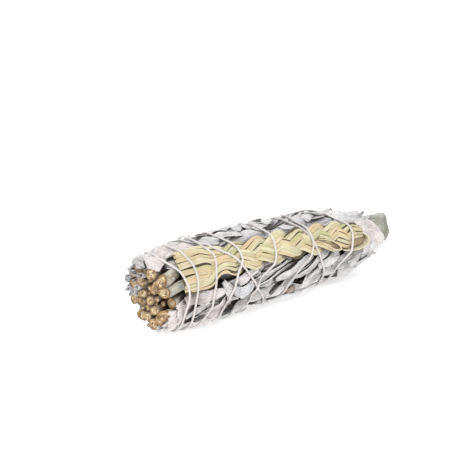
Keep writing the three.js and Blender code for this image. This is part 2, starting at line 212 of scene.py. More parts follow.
@dataclass
class Bundle:
    """The form of the whole bundle: where its middle line lies and how thick it is bound.

    The thickness is read off the photograph along the upper and the lower outline. The stick lies on the floor,
    so its underside is flat.
    """

    stem_end_x: float = -67.2
    axis_y: float = AXIS_Y
    axis_z: float = AXIS_Z
    length: float = 137.0
    floor_gap: float = 0.25
    upper: Sequence[tuple[float, float]] = (
        (-4, 15.7), (0, 16.6), (6, 18.3), (13, 19.2), (25, 20.0), (42, 20.0), (66, 19.9), (86, 19.6), (96, 19.2),
        (105, 17.5), (112, 16.0), (119, 14.2), (126, 12.6), (132, 11.6), (137, 10.4), (143, 9),
    )
    front: Sequence[tuple[float, float]] = (
        (-4, 16.1), (0, 17.2), (6, 19.0), (13, 20.4), (22, 21.3), (32, 20.9), (42, 21.0), (66, 21.0), (86, 20.4),
        (105, 19.9), (118, 18.8), (128, 17.3), (137, 14.6), (143, 13),
    )
    lower: Sequence[tuple[float, float]] = (
        (-4, 16.2), (0, 17.4), (6, 19.8), (14, 21.1), (26, 21.2), (40, 20.8), (56, 20.3), (76, 20.6), (100, 20.4),
        (116, 19.6), (128, 17.8), (137, 15.2), (143, 13),
    )
    upper_angle: float = -30.0
    lower_angle: float = 150.0
    plait_dent: float = 0.9

    def thickness(self, s: Array, angle: Array) -> Array:
        """Work out how thick the bundle is bound.

        Args:
            s: distances along it.
            angle: angles round it.

        Returns:
            The radius that the leaves fill at each place.
        """
        top, front, low = (np.interp(s, *zip(*line)) for line in (self.upper, self.front, self.lower))
        share = 0.5 - 0.5 * np.cos(np.radians(turn(self.lower_angle - 180.0, angle)))
        high = np.cos(np.radians(np.clip(turn(self.upper_angle, angle), -80, 80) * 90 / 80)) ** 2
        radius = (front * (1 - share) + low * share) * (1 - high) + top * high
        lumps = 0.25 * np.sin(s / 7.3 + np.radians(angle) * 2 + 1.0) + 0.2 * np.sin(s / 4.1 - np.radians(angle) * 5)
        down = np.maximum(-np.cos(np.radians(angle)), 0.2)
        return np.minimum(radius + lumps, (self.axis_z - self.floor_gap) / down)

    def to_world(self, s: Array, angle: Array, radius: Array) -> Array:
        """Turn places in the bundle into points.

        Args:
            s: distances along it.
            angle: angles round it.
            radius: radii.

        Returns:
            The points in metres, with x, y, z on the last axis.
        """
        a = np.radians(angle)
        x = np.asarray(s, dtype=float) + self.stem_end_x
        y = self.axis_y - radius * np.sin(a)
        z = self.axis_z + radius * np.cos(a)
        return np.stack(np.broadcast_arrays(x, y, z), axis=-1) * MM


@dataclass
class StringRoute:
    """Where the string runs, as (s, angle) with the angle running on turn after turn, from the part's source."""

    points: Sequence[tuple[float, float]] = (
        (5, -40), (3, 16), (6, 40), (9, 78), (8, 121), (8.5, 180), (10.5, 235), (16, 300), (21, 360), (27, 392),
        (36, 422), (45, 460), (51, 488), (56, 545), (61, 600), (69, 680), (73.5, 742), (78, 782), (85, 820),
        (88, 841), (89, 900), (91.5, 950), (97, 1060), (98.5, 1107), (103, 1133), (102, 1153), (96, 1185),
        (94, 1210), (94, 1275), (92, 1325), (86, 1375), (77, 1440), (76.5, 1480), (75, 1513), (67, 1536),
        (63, 1558), (63, 1632), (60, 1700), (56, 1770), (55, 1805), (56, 1840), (54, 1867), (45, 1895),
        (39, 1990), (34, 2110), (34, 2172), (37, 2208), (33, 2234), (28, 2269), (24.5, 2360), (21, 2500),
        (22, 2542), (25, 2562), (23, 2586), (20, 2619), (16.5, 2656), (14, 2760), (11.5, 2900), (14, 2930),
        (13, 2960), (12, 3008), (11.5, 3060), (10.5, 3100), (9, 3140),
    )
    radius: float = 0.5
    spacing: float = 0.25
    mean_radius: float = 19.5

    def fine(self) -> tuple[Array, Array]:
        """Draw a smooth line through the points.

        Returns:
            The route's s and angle at even steps along it.
        """
        knots = np.array(self.points, dtype=float)
        knots[:, 1] = np.radians(knots[:, 1]) * self.mean_radius
        padded = np.vstack([2 * knots[0] - knots[1], knots, 2 * knots[-1] - knots[-2]])
        pieces = []
        for p0, p1, p2, p3 in zip(padded, padded[1:], padded[2:], padded[3:]):
            t = np.linspace(0, 1, 40, endpoint=False)[:, None]
            d0, d1, d2 = (math.sqrt(math.dist(a, b)) for a, b in ((p0, p1), (p1, p2), (p2, p3)))
            m1 = (p2 - p1) + d1 * ((p1 - p0) / d0 - (p2 - p0) / (d0 + d1))
            m2 = (p2 - p1) + d1 * ((p3 - p2) / d2 - (p3 - p1) / (d1 + d2))
            pieces.append(
                (2 * t**3 - 3 * t**2 + 1) * p1 + (t**3 - 2 * t**2 + t) * m1
                + (3 * t**2 - 2 * t**3) * p2 + (t**3 - t**2) * m2
            )
        dense = np.vstack([*pieces, knots[-1:]])
        run = np.concatenate([[0], np.cumsum(np.hypot(*np.diff(dense, axis=0).T))])
        even = np.arange(0, run[-1], self.spacing)
        s = np.interp(even, run, dense[:, 0])
        angle = np.degrees(np.interp(even, run, dense[:, 1]) / self.mean_radius)
        return s, angle


class Fold(Enum):
    """How a dried leaf has curled across its width."""

    FLAT = "flat"
    TROUGH = "edges up"
    ARCH = "edges down"
    LEFT_HEM = "one edge rolled over"
    RIGHT_HEM = "the other edge rolled over"
    HEMS = "both edges rolled over"
    PLEATED = "pleated"


@dataclass
class Leaf:
    """One dried sage leaf, laid on what is already in the bundle."""

    start: float
    angle: float
    length: float = 38.0
    half_width: float = 7.0
    lean: float = 0.0
    bow: float = 0.0
    fold: Fold = Fold.FLAT
    fold_height: float = 1.2
    hem_radius: float = 0.7
    crumple: float = 0.5
    tip_lift: float = 0.0
    droop: float = 0.0
    foot: float = 0.0
    fullness: float = 0.72
    root: float = 0.16
    tint: float = 0.5
    seed: int = 0
    rows: int = 26
    columns: int = 15
    lying_radius: float = 17.5
    s: Array = field(default=None, repr=False)
    at_angle: Array = field(default=None, repr=False)
    radius: Array = field(default=None, repr=False)
    lying: Array = field(default=None, repr=False)
    t: Array = field(default=None, repr=False)
    v: Array = field(default=None, repr=False)

    thickness = 0.3
    gap = 0.1

    def outline(self, t: Array) -> Array:
        """Shape the blade: a narrow foot, widest near the middle, a blunt tip.

        Args:
            t: shares of the length.

        Returns:
            The half width at each.
        """
        grown = self.foot + (1 - self.foot) * t
        blade = np.sin(np.pi * np.clip(0.03 + 0.955 * grown, 0, 1) ** 0.82) ** self.fullness
        return self.half_width * (self.root + (1 - self.root) * blade)

    def creases(self, t: Array, v: Array) -> Array:
        """Crease the leaf sharply, mostly along it.

        Args:
            t: shares of the length.
            v: shares of the half width.

        Returns:
            The height of the creases, from 0 to 1.
        """
        rng = random.Random(self.seed)
        total = np.zeros_like(t)
        weight = 0.0
        for k in range(7):
            fine = k > 3
            along, across = rng.uniform(-3.2, 3.2) * (1 + 1.8 * fine), rng.uniform(0.5, 1.5) * (1 + 0.9 * fine)
            share = rng.uniform(0.4, 1.0) * (0.5 if fine else 1.0)
            bent = 0.35 * np.sin(5 * t + rng.uniform(0, 6))
            total += share * zigzag(along * t + across * v + bent + rng.uniform(0, 2))
            weight += share
        return total / weight

    def section(self, width: Array, v: Array, t: Array) -> tuple[Array, Array]:
        """Curl the leaf across its width.

        Args:
            width: the half width at each point.
            v: the share of it, from -1 to 1.
            t: the share of the length.

        Returns:
            The sideways place and the height of each point.
        """
        side = v * width
        rise = np.zeros_like(side)
        ease = smoothstep(t, 0.04, 0.3) * (1 - 0.4 * smoothstep(t, 0.75, 1.0))
        if self.fold is Fold.TROUGH:
            rise = self.fold_height * np.abs(v) ** 1.3 * ease
            side = side * (1 - 0.25 * ease * np.abs(v))
        elif self.fold is Fold.ARCH:
            rise = self.fold_height * (1 - np.abs(v) ** 1.3) * ease
            side = side * (1 - 0.12 * ease)
        elif self.fold is Fold.PLEATED:
            rise = self.fold_height * 0.9 * zigzag(2.2 * v + 0.6 * t + self.seed % 7) * ease
            side = side * (1 - 0.3 * ease)
        hems = {Fold.LEFT_HEM: (-1,), Fold.RIGHT_HEM: (1,), Fold.HEMS: (-1, 1)}.get(self.fold, ())
        for sign in hems:
            arc = np.clip(v * sign - 0.55, 0, None) * width
            bend = np.minimum(arc / self.hem_radius, math.radians(235)) * ease
            rolled = v * sign > 0.55
            side = np.where(rolled, sign * (0.55 * width + self.hem_radius * np.sin(bend)), side)
            rise = np.where(rolled, self.hem_radius * (1 - np.cos(bend)), rise)
        return side, rise

    def lay(self, ground: HeightField) -> None:
        """Rest the leaf on what is there and raise the field to its outer face.

        Args:
            ground: the height field.
        """
        t = np.linspace(0, 1, self.rows)[:, None] * np.ones((1, self.columns))
        v = np.sin(np.linspace(-math.pi / 2, math.pi / 2, self.columns))[None, :] * np.ones((self.rows, 1))
        v = 0.5 * v + 0.5 * np.linspace(-1, 1, self.columns)[None, :]
        rng = random.Random(self.seed + 7)
        tooth = [rng.uniform(0, 2 * math.pi) for _ in range(4)]
        edge = 1 + 0.05 * np.sin(17 * t + tooth[0] + v) + 0.04 * np.sin(41 * t + tooth[1] * v) * np.abs(v)
        width = self.outline(t) * edge
        side, rise = self.section(width, v, t)
        lean = math.radians(self.lean)
        middle = self.bow * np.sin(math.pi * t) + 0.5 * self.bow * np.sin(2.3 * math.pi * t + tooth[2])
        along = t * self.length
        self.s = self.start + along * math.cos(lean) - side * math.sin(lean)
        if self.foot:
            torn = np.array([rng.uniform(-0.9, 0.7) for _ in range(self.columns)])
            self.s = self.s + torn[None, :] * (1 - smoothstep(t, 0.0, 0.09))
        arc = along * math.sin(lean) + (side + middle) * math.cos(lean)
        self.at_angle = self.angle + np.degrees(arc / self.lying_radius)
        support = ground.at(self.s, self.at_angle, ground.tops())
        bed = support.copy()
        for _ in range(14):
            padded = np.pad(bed, 1, mode="edge")
            mean = (padded[:-2, 1:-1] + padded[2:, 1:-1] + padded[1:-1, :-2] + padded[1:-1, 2:]) / 4
            bed = np.maximum(support, mean)
        bend = int(np.searchsorted(along[:, 0], self.droop))
        bed[:bend] = bed[bend]
        creases = self.crumple * self.creases(t, v) * smoothstep(t, 0.0, 0.25)
        lift = self.tip_lift * smoothstep(t, 0.72, 1.0) ** 1.5
        self.radius = bed + self.gap + self.thickness + rise + creases + lift
        hangs = np.clip(self.droop - along, 0, None)
        self.radius = self.radius - 0.9 * hangs
        self.s = self.s + 0.88 * hangs
        # A hanging part is read as lying far out, so no shade is painted on it.
        self.lying = np.where(hangs > 0, 99.0, self.radius)
        self.t, self.v = t, v
        ground.fill(self.s, self.at_angle, self.radius)


@dataclass
class Stem:
    """One woody stem, from its cut face to its thin end."""

    cut_angle: float
    cut_radius: float
    thickness: float
    cut: float
    end: float
    ring_angle: float
    ring_radius: float
    seed: int

    settle = 14.0
    taper = 0.5

    def middle(self, s: Array) -> tuple[Array, Array]:
        """Lead the stem from its place in the cut to its place in the bundle.

        Args:
            s: distances along the bundle.

        Returns:
            The angle and radius of the stem's middle.
        """
        share = smoothstep(s, 0, self.settle)
        a, b = math.radians(self.cut_angle), math.radians(self.ring_angle)
        across = self.cut_radius * math.sin(a) * (1 - share) + self.ring_radius * math.sin(b) * share
        up = self.cut_radius * math.cos(a) * (1 - share) + self.ring_radius * math.cos(b) * share
        return np.degrees(np.arctan2(across, up)), np.hypot(across, up)

    def half_thickness(self, s: Array) -> Array:
        """Give the stem's own radius, which shrinks towards its end."""
        share = np.clip((np.asarray(s, dtype=float) - self.cut) / (self.end - self.cut), 0, 1)
        return self.thickness * (1 - (1 - self.taper) * share)

    def fill(self, ground: HeightField) -> None:
        """Raise the height field where the stem lies.

        Args:
            ground: the height field.
        """
        s = ground.s[(ground.s[:, 0] >= self.cut - 0.3) & (ground.s[:, 0] <= self.end), 0]
        angle, radius = self.middle(s)
        own = self.half_thickness(s)
        for share in np.linspace(-1, 1, 25):
            out = radius + own * math.sqrt(1 - share * share) * 0.98
            off = np.degrees(own * share / np.maximum(radius, own * 1.05))
            i = np.rint((s - ground.s_low) / ground.s_cell).astype(int)
            j = np.rint((angle + off) / ground.angle_cell).astype(int) % ground.columns
            np.maximum.at(ground.grid, (i, j), out)


@dataclass
class Roll:
    """A shrivelled little leaf rolled up lengthwise, whose open end shows between the stems at the cut."""

    start: float
    length: float
    angle: float
    radius: float
    size: float
    tint: float
    seed: int

    rows: int = 9
    columns: int = 17

    thickness = 0.22
    slant = 0.6
    cut_towards = 62.0

    def points(self, bundle: Bundle) -> tuple[Array, Array, Array]:
        """Wind the leaf up round its own middle.

        Args:
            bundle: the bundle that it stands in.

        Returns:
            Its points in metres, and the share of its length and of its winding at each.
        """
        rng = random.Random(self.seed)
        t = np.linspace(0, 1, self.rows)[:, None] * np.ones((1, self.columns))
        wound = np.linspace(0, 1, self.columns)[None, :] * np.ones((self.rows, 1))
        turned = rng.uniform(0, 6.3) + rng.uniform(6.4, 7.6) * wound + 0.8 * t
        own = self.size * (0.68 + 0.32 * wound) * (1 + 0.12 * np.sin(3 * turned + 5 * t + rng.uniform(0, 6)))
        torn = np.array([rng.uniform(-0.4, 0.3) for _ in range(self.columns)])[None, :] * (1 - smoothstep(t, 0, 0.2))
        a = math.radians(self.angle)
        across = self.radius * math.sin(a) * (1 - 0.05 * t) + own * np.sin(turned)
        up = self.radius * math.cos(a) * (1 - 0.05 * t) + own * np.cos(turned)
        slant = self.slant * own * np.cos(turned - math.radians(self.cut_towards)) * (1 - smoothstep(t, 0, 0.5))
        s = self.start + t * self.length + torn + slant
        return bundle.to_world(s, np.degrees(np.arctan2(across, up)), np.hypot(across, up)), t, wound


@dataclass(frozen=True)
class Flap:
    """The cut end of a leaf that has folded over the stems, held by its four corners as (s, angle, radius)."""

    corners: Sequence[tuple[float, float, float]]
    tint: float
    bulge: float
    crumple: float
    seed: int
    rounded: float = 0.0
    # dim: how much shade is painted into the flap's lower folds.
    dim: float = 0.0
    rows: int = 17
    columns: int = 17

    thickness = 0.3

    def surface(self) -> tuple[Array, Array, Array, Array, Array, Array]:
        """Spread the flap between its corners.

        Returns:
            The s, angle and radius of its points, the shares across its two directions, and the shade painted into its
            lower folds.
        """
        rng = random.Random(self.seed)
        t = np.linspace(0, 1, self.rows)[:, None] * np.ones((1, self.columns))
        v = np.linspace(0, 1, self.columns)[None, :] * np.ones((self.rows, 1))
        a, b, c, d = (np.array(corner, dtype=float)[:, None, None] for corner in self.corners)
        place = a * (1 - t) * (1 - v) + b * t * (1 - v) + c * t * v + d * (1 - t) * v
        swell = np.sin(np.pi * t) * np.sin(np.pi * v)
        wave = zigzag(2.3 * t + 1.1 * v + rng.uniform(0, 2)) + 0.6 * zigzag(3.7 * v - 1.9 * t + rng.uniform(0, 2))
        ragged = 0.35 * np.sin(19 * t + rng.uniform(0, 6)) + 0.25 * np.sin(37 * t + rng.uniform(0, 6))
        corner = self.rounded * np.abs(2 * v - 1) ** 3 * smoothstep(t, 0.5, 1.0)
        s = place[0] - self.bulge * swell + ragged * smoothstep(v, 0.7, 1.0) - corner
        radius = place[2] + self.crumple * (wave - 0.8) + 0.5 * self.bulge * swell
        # Painted shade: the lower parts of the folds get shade painted into their colour, scaled by dim.
        return s, place[1], radius, t, v, self.dim * np.clip(1.5 - wave, 0.0, 1.5)


@dataclass
class Sprig:
    """A stem with its side twigs and the leaves that grow from it: one node of the part."""

    node: str
    stem: Stem
    leaves: list[Leaf] = field(default_factory=list)
    twigs: list[Stem] = field(default_factory=list)
    rolls: list[Roll] = field(default_factory=list)
    flaps: list[Flap] = field(default_factory=list)


class Press:
    """How the binding presses the loose pile of leaves into the bundle's form."""

    groove_depth = 0.95
    groove_reach = 1.5

    def __init__(self, bundle: Bundle, pile: HeightField, string: StringRoute, plait: "Plait") -> None:
        """Work out the pressed radius for each radius of the pile.

        Args:
            bundle: the form to press it into.
            pile: the height field of the loose pile.
            string: the route of the string, which presses a groove.
            plait: the plait, which presses a hollow.
        """
        self.bundle = bundle
        self.pile = pile
        top = dilated(dilated(pile.grid, 0, 4, False), 1, 6, True)
        for _ in range(2):
            top = blurred(blurred(top, 0, 3, False), 1, 5, True)
        self.envelope = np.maximum(top, pile.grid)
        form = bundle.thickness(pile.s, pile.angle)
        self.groove = self._grooves(string)
        self.form = form - self.groove - plait.hollow(pile.s, pile.angle, bundle.plait_dent)
        self.share = self.form / self.envelope
        self.surface = pile.grid * self.share
        self.near_tops = pile.tops()
        self.ridges = dilated(dilated(pile.grid, 0, 3, False), 1, 5, True)
        log.info("pressed to %.2f to %.2f of the loose pile", float(self.share.min()), float(self.share.max()))

    def _grooves(self, string: StringRoute) -> Array:
        """Press a groove under the string.

        Args:
            string: its route.

        Returns:
            The depth at each cell.
        """
        depth = np.zeros_like(self.pile.grid)
        span = 11
        s, angle = string.fine()
        for one_s, one_angle in zip(s[::2], angle[::2]):
            i = round((one_s - self.pile.s_low) / self.pile.s_cell)
            j = round(one_angle / self.pile.angle_cell)
            rows = np.arange(max(i - span, 0), min(i + span + 1, self.pile.rows))
            columns = np.arange(j - 2 * span, j + 2 * span + 1)
            ds = self.pile.s_low + rows[:, None] * self.pile.s_cell - one_s
            da = np.radians(columns[None, :] * self.pile.angle_cell - one_angle) * string.mean_radius
            here = self.groove_depth * np.exp(-(ds**2 + da**2) / (2 * self.groove_reach**2))
            index = np.ix_(rows, columns % self.pile.columns)
            depth[index] = np.maximum(depth[index], here)
        return depth

    def radius(self, s: Array, angle: Array, radius: Array) -> Array:
        """Press radii of the loose pile into the bundle."""
        return radius * self.pile.at(s, angle, self.share)

    def covered(self, s: Array, angle: Array, radius: Array) -> Array:
        """Tell how deep each place lies under later leaves or between ridges, as the amount of shade painted into the
        leaves' colour.

        Args:
            s: distances along the bundle.
            angle: angles round it.
            radius: radii in the loose pile.

        Returns:
            From 0 in the open to 1.
        """
        deep = self.pile.at(s, angle, self.near_tops) - radius
        hollow = np.clip((self.pile.at(s, angle, self.ridges) - radius - 0.7) / 3.4, 0, 1)
        return np.maximum(smoothstep(deep, 0.8, 2.8), 0.4 * hollow**1.5)


def inner_face(points: Array, thickness: float) -> Array:
    """Give the points of a sheet's inner face.

    Args:
        points: its outer face, as a grid of points.
        thickness: how far the inner face lies behind it, in metres.

    Returns:
        A grid of points of the same shape.
    """
    across = np.cross(np.gradient(points, axis=0), np.gradient(points, axis=1))
    for axis in (0, 1):
        across = across + np.roll(across, 1, axis) + np.roll(across, -1, axis)
    out = points[..., 1:] - np.array([AXIS_Y, AXIS_Z]) * MM
    if (across[..., 1:] * out).sum() < 0:
        across = -across
    return points - across / np.maximum(np.linalg.norm(across, axis=-1, keepdims=True), 1e-12) * thickness


class Layers:
    """The values that a piece's mesh carries for its finish."""

    def __init__(self, bm: bmesh.types.BMesh) -> None:
        """Add the layers to an empty bmesh.

        Args:
            bm: the mesh.
        """
        self.uv = bm.loops.layers.uv.new("Along")
        self.tint = bm.verts.layers.float.new("tint")
        # shade: how much shade the finish paints into each vertex's colour.
        self.shade = bm.verts.layers.float.new("shade")
        self.along = bm.verts.layers.float.new("along")
        self.across = bm.verts.layers.float.new("across")
        self.out = bm.verts.layers.float.new("out")
        self.place = bm.verts.layers.int.new("place")

    def write(self, vert: bmesh.types.BMVert, tint: float, shade: float, along: float, across: float) -> None:
        """Set the values of one vertex."""
        vert[self.tint], vert[self.shade] = tint, shade
        vert[self.along], vert[self.across] = along, across

    def unwrap(self, bm: bmesh.types.BMesh) -> None:
        """Copy each vertex's place on its own leaf or blade to the UV map.

        Args:
            bm: the mesh.
        """
        for face in bm.faces:
            for loop in face.loops:
                loop[self.uv].uv = (loop.vert[self.along], loop.vert[self.across])


def sheet(bm: bmesh.types.BMesh, rows: int, columns: int) -> tuple[list[list[bmesh.types.BMVert]], list]:
    """Make a flat grid to be laid somewhere.

    Args:
        bm: the mesh to make it in.
        rows: vertices along it.
        columns: vertices across it.

    Returns:
        The vertices by row and column, and the faces.
    """
    made = bmesh.ops.create_grid(bm, x_segments=rows - 1, y_segments=columns - 1, size=0.5)["verts"]
    grid: list[list] = [[None] * columns for _ in range(rows)]
    for vert in made:
        i = round((vert.co.x + 0.5) * (rows - 1))
        j = round((vert.co.y + 0.5) * (columns - 1))
        grid[i][j] = vert
    faces = list({face for vert in made for face in vert.link_faces})
    return grid, faces


def turn_outwards(bm: bmesh.types.BMesh, faces: Sequence[bmesh.types.BMFace]) -> None:
    """Make a closed thin solid's faces point outwards, by the sign of the volume that they hold.

    Args:
        bm: the mesh it is in.
        faces: all its faces.
    """
    bmesh.ops.recalc_face_normals(bm, faces=faces)
    middle = faces[0].calc_center_median()
    volume = sum((face.calc_center_median() - middle).dot(face.normal) * face.calc_area() for face in faces)
    if volume < 0:
        bmesh.ops.reverse_faces(bm, faces=faces)


def laid_sheet(
    bm: bmesh.types.BMesh, layers: Layers, points: Array, tint: float, shade: Array, along: Array, across: Array,
    thickness: float, material: int,
) -> None:
    """Make one leaf or blade as a closed thin solid.

    Args:
        bm: the mesh to make it in.
        layers: the mesh's layers.
        points: its outer face, as a grid of points in metres.
        tint: which of its colours it has, from 0 to 1.
        shade: how much shade is painted into each point's colour, from 0 to 1, mostly by how deep it lies under
            others.
        along: place along it at each point, in centimetres.
        across: place across it at each point, in centimetres.
        thickness: its thickness in millimetres.
        material: its material's index.
    """
    rows, columns = points.shape[:2]
    grid, faces = sheet(bm, rows, columns)
    for i in range(rows):
        for j in range(columns):
            vert = grid[i][j]
            vert.co = points[i, j]
            vert[layers.place] = i * columns + j
            layers.write(vert, tint, float(shade[i, j]), float(along[i, j]), float(across[i, j]))
            # out: nearness to the sheet's side edges, where the leaf finish paints a highlight.
            vert[layers.out] = abs(2 * j / (columns - 1) - 1) ** 4
    for face in faces:
        face.material_index = material
    behind = inner_face(points, thickness * MM).reshape(-1, 3)
    grown = bmesh.ops.extrude_face_region(bm, geom=faces)["geom"]
    for vert in grown:
        if isinstance(vert, bmesh.types.BMVert):
            vert.co = behind[vert[layers.place]]
    both = {face for row in grid for vert in row for face in vert.link_faces}
    both |= {face for face in grown if isinstance(face, bmesh.types.BMFace)}
    for face in both:
        face.smooth = True
        face.material_index = material
    turn_outwards(bm, list(both))


def finished(bm: bmesh.types.BMesh, name: str, materials: Sequence[bpy.types.Material]) -> bpy.types.Object:
    """Turn a bmesh into an object at the origin.

    Args:
        bm: the mesh, which is freed.
        name: the piece's name.
        materials: its materials in slot order.

    Returns:
        The object, linked to the scene.
    """
    mesh = bpy.data.meshes.new(name)
    bm.to_mesh(mesh)
    bm.free()
    for material in materials:
        mesh.materials.append(material)
    piece = bpy.data.objects.new(name, mesh)
    bpy.context.scene.collection.objects.link(piece)
    return piece


@dataclass
class SageBundle:
    """All the sprigs: their stems, the way their leaves are laid on each other, and their meshes."""

    bundle: Bundle
    seed: int = 4
    centre_stem: Sequence[float] = (131, 3.8, 1.75)
    inner_stems: Sequence[Sequence[float]] = (
        (60.6, 6.3, 1.9), (132, 8.1, 1.75), (177, 9.9, 1.65), (221, 8.2, 1.7), (240.6, 4.5, 1.6), (308, 6.2, 1.9),
    )
    outer_stems: Sequence[Sequence[float]] = (
        (26.6, 10.1, 2.2), (53.5, 13.9, 2.4), (71, 13, 2.05), (95, 11.8, 2), (113, 13.7, 2.2), (132.4, 12.4, 2),
        (160, 13.5, 2.05), (203, 13, 2), (236, 12, 1.95), (268, 11.5, 2.15), (298, 12.2, 2), (335, 12, 2.1),
    )
    short_stem: tuple[float, float] = (95, 4.0)
    inner_ring: tuple[float, float, float] = (6.2, 60.0, 98.0)
    outer_ring: tuple[float, float, float] = (11.5, 5.0, 97.0)
    stem_sides: int = 18
    twig_count: int = 34
    towards_eye: float = 62.0
    scraps: Sequence[tuple[float, float, float]] = (
        (14, 4, -30), (23, 8, 24), (28, -12, -40), (34, 12, 18), (40, -4, -22), (44, 14, -48), (49, 2, 30),
        (53, 18, -16), (57, -10, 40), (60, 10, -35), (66, 20, 20), (70, 2, -28), (76, 12, 34), (82, 22, -20),
        (86, 2, 26), (92, 16, -34), (11, 94, -8), (18, 91, 10), (25, 89, -16), (104, 112, -28), (108, 98, -32),
        (113, 110, -36), (116, 94, -22), (110, 122, -25),
    )
    strips: Sequence[tuple[float, float]] = (
        (30, 112), (36, 98), (41, 118), (46, 104), (51, 128), (55, 96), (60, 112), (66, 102), (71, 122), (76, 110),
        (82, 98), (87, 118), (31, 130), (93, 106),
    )
    flaps: Sequence[Flap] = (
        Flap(((-1.5, 0, 16.9), (6.1, 24, 17.0), (0.8, 36, 15.0), (-1.7, 18, 13.2)), 0.63, 0.5, 0.35, 3),
        Flap(((-0.2, -44, 14.4), (-0.2, -10, 15.4), (-1.2, 4, 11.2), (-0.6, -40, 10.0)), 0.05, 1.9, 0.9, 8),
        Flap(((120, 34, 14.6), (139.0, 37, 14.2), (136.8, 100, 13.6), (118, 104, 15.5)), 0.0, 0.9, 1.5, 21, 0.9, 0.34),
        Flap(((110, 45, 18.9), (121.5, 47, 18.5), (132.4, 98, 16.8), (112, 103, 19.2)), 0.66, 1.6, 1.0, 5, 1.8, 0.2),
    )

    def __post_init__(self) -> None:
        """Set out the sprigs and lay their leaves."""
        self.rng = random.Random(self.seed)
        self.inner_field = HeightField(1.2)
        self.pile = HeightField(2.0)
        self.sprigs = self._inner_sprigs() + self._outer_sprigs()
        self._fill_cut()
        for flap in self.flaps:
            self._nearest(self.sprigs[7:], flap.corners[3][1]).flaps.append(flap)

    def _stem(self, place: Sequence[float], ring_radius: float, ring_angle: float, end: float) -> Stem:
        """Set out one stem.

        Args:
            place: its angle and radius in the cut, and its own radius.
            ring_radius: its radius further in.
            ring_angle: its angle there.
            end: how far it reaches.

        Returns:
            The stem.
        """
        cut_angle, cut_radius, thickness = place
        cut = self.rng.uniform(-0.5, 0.3)
        if cut_angle == self.short_stem[0]:
            cut = self.short_stem[1]
        seed = self.rng.randrange(10**6)
        return Stem(cut_angle, cut_radius, thickness, cut, end, ring_angle, ring_radius, seed)

    def _leaf(self, start: float, angle: float, **sizes: float) -> Leaf:
        """Draw one leaf's curl and colour.

        Args:
            start: where its foot lies along the bundle.
            angle: where it lies round it.
            **sizes: what is settled, not drawn.

        Returns:
            The leaf.
        """
        rng = self.rng
        folds = [Fold.TROUGH] * 5 + [Fold.ARCH] * 3 + [Fold.LEFT_HEM, Fold.RIGHT_HEM] * 3
        folds += [Fold.HEMS] * 4 + [Fold.PLEATED] * 4 + [Fold.FLAT]
        low = abs(float(turn(120.0, angle))) < 50
        drawn = {
            "lean": rng.gauss(-14, 6) if low else rng.gauss(0, 10), "bow": rng.uniform(-1.2, 1.2),
            "fold": rng.choice(folds), "fold_height": rng.uniform(0.6, 1.5) if low else rng.uniform(0.8, 2.1),
            "hem_radius": rng.uniform(0.4, 0.85), "crumple": rng.uniform(0.6, 1.1) if low else rng.uniform(0.8, 1.5),
            "tip_lift": rng.uniform(-0.1, 1.0), "tint": rng.uniform(0.26 if low else 0.0, 0.93),
            "seed": rng.randrange(10**6),
        }
        return Leaf(start=start, angle=angle, **{**drawn, **sizes})

    def _inner_sprigs(self) -> list[Sprig]:
        """Set out the middle sprig and the ring of six round it.

        Returns:
            The sprigs.
        """
        radius, first, end = self.inner_ring
        sprigs = [Sprig("sage_sprig_centre", self._stem(self.centre_stem, 0.01, 0.0, 100.0))]
        for i, place in enumerate(self.inner_stems):
            angle = first + i * 360 / len(self.inner_stems)
            sprigs.append(Sprig(f"sage_sprig_inner_{i + 1}", self._stem(place, radius, angle, end)))
        flat = {"fold": Fold.ARCH, "fold_height": 0.3, "crumple": 0.15, "lean": 0.0, "bow": 0.0, "tip_lift": 0.0}
        self.hidden: list[tuple[Sprig, Leaf, float]] = []
        for sprig in sprigs[1:]:
            for start in (22.0, 56.0):
                leaf = self._leaf(start, sprig.stem.ring_angle, length=36, half_width=7.2, rows=12, columns=7, **flat)
                self.hidden.append((sprig, leaf, 8.3))
        tips = []
        for sprig in sprigs:
            for k in range(3):
                angle = sprig.stem.ring_angle + self.rng.uniform(-35, 35) + k * 120 * (sprig is sprigs[0])
                start = self.rng.uniform(99.5, 104)
                reach = self.rng.uniform(127, 135) - start
                tips.append((sprig, self._leaf(start, angle, length=reach, half_width=self.rng.uniform(4, 6.5),
                                               fullness=0.45)))
        for sprig, leaf in tips:
            leaf.lying_radius = 8.0
            leaf.lay(self.inner_field)
            sprig.leaves.append(leaf)
        return sprigs

    def _outer_sprigs(self) -> list[Sprig]:
        """Set out the ring of twelve and lay all their leaves, the tip ones first.

        Returns:
            The sprigs.
        """
        radius, first, end = self.outer_ring
        rng = self.rng
        sprigs = []
        for i, place in enumerate(self.outer_stems):
            angle = first + i * 360 / len(self.outer_stems)
            sprigs.append(Sprig(f"sage_sprig_outer_{i + 1}", self._stem(place, radius, angle, end)))
        grid = self.pile.grid
        grid[:] = np.where(self.pile.s < 16, 8.0, 9.4)
        past = smoothstep(self.pile.s, 96, 103)
        grid[:] = grid * (1 - past) + np.maximum(self.inner_field.grid, 3.0) * past
        for sprig in sprigs:
            sprig.stem.fill(self.pile)
        near = int((5.0 - self.pile.s_low) / self.pile.s_cell)
        grid[:near] = np.maximum(grid[:near], grid[near])
        waiting: list[tuple[Sprig, Leaf]] = []
        for sprig in sprigs:
            waiting += [(sprig, leaf) for leaf in self._leaves_of(sprig)]
        waiting.sort(key=lambda pair: -pair[1].start - rng.uniform(0, 5))
        waiting += self._marked_leaves(sprigs)
        waiting += self._end_leaves(sprigs)
        for sprig, leaf in waiting:
            leaf.lay(self.pile)
            sprig.leaves.append(leaf)
        return sprigs

    def _nearest(self, sprigs: Sequence[Sprig], angle: float) -> Sprig:
        """Find the sprig that grows nearest to an angle."""
        return min(sprigs, key=lambda one: abs(float(turn(one.stem.ring_angle, angle))))

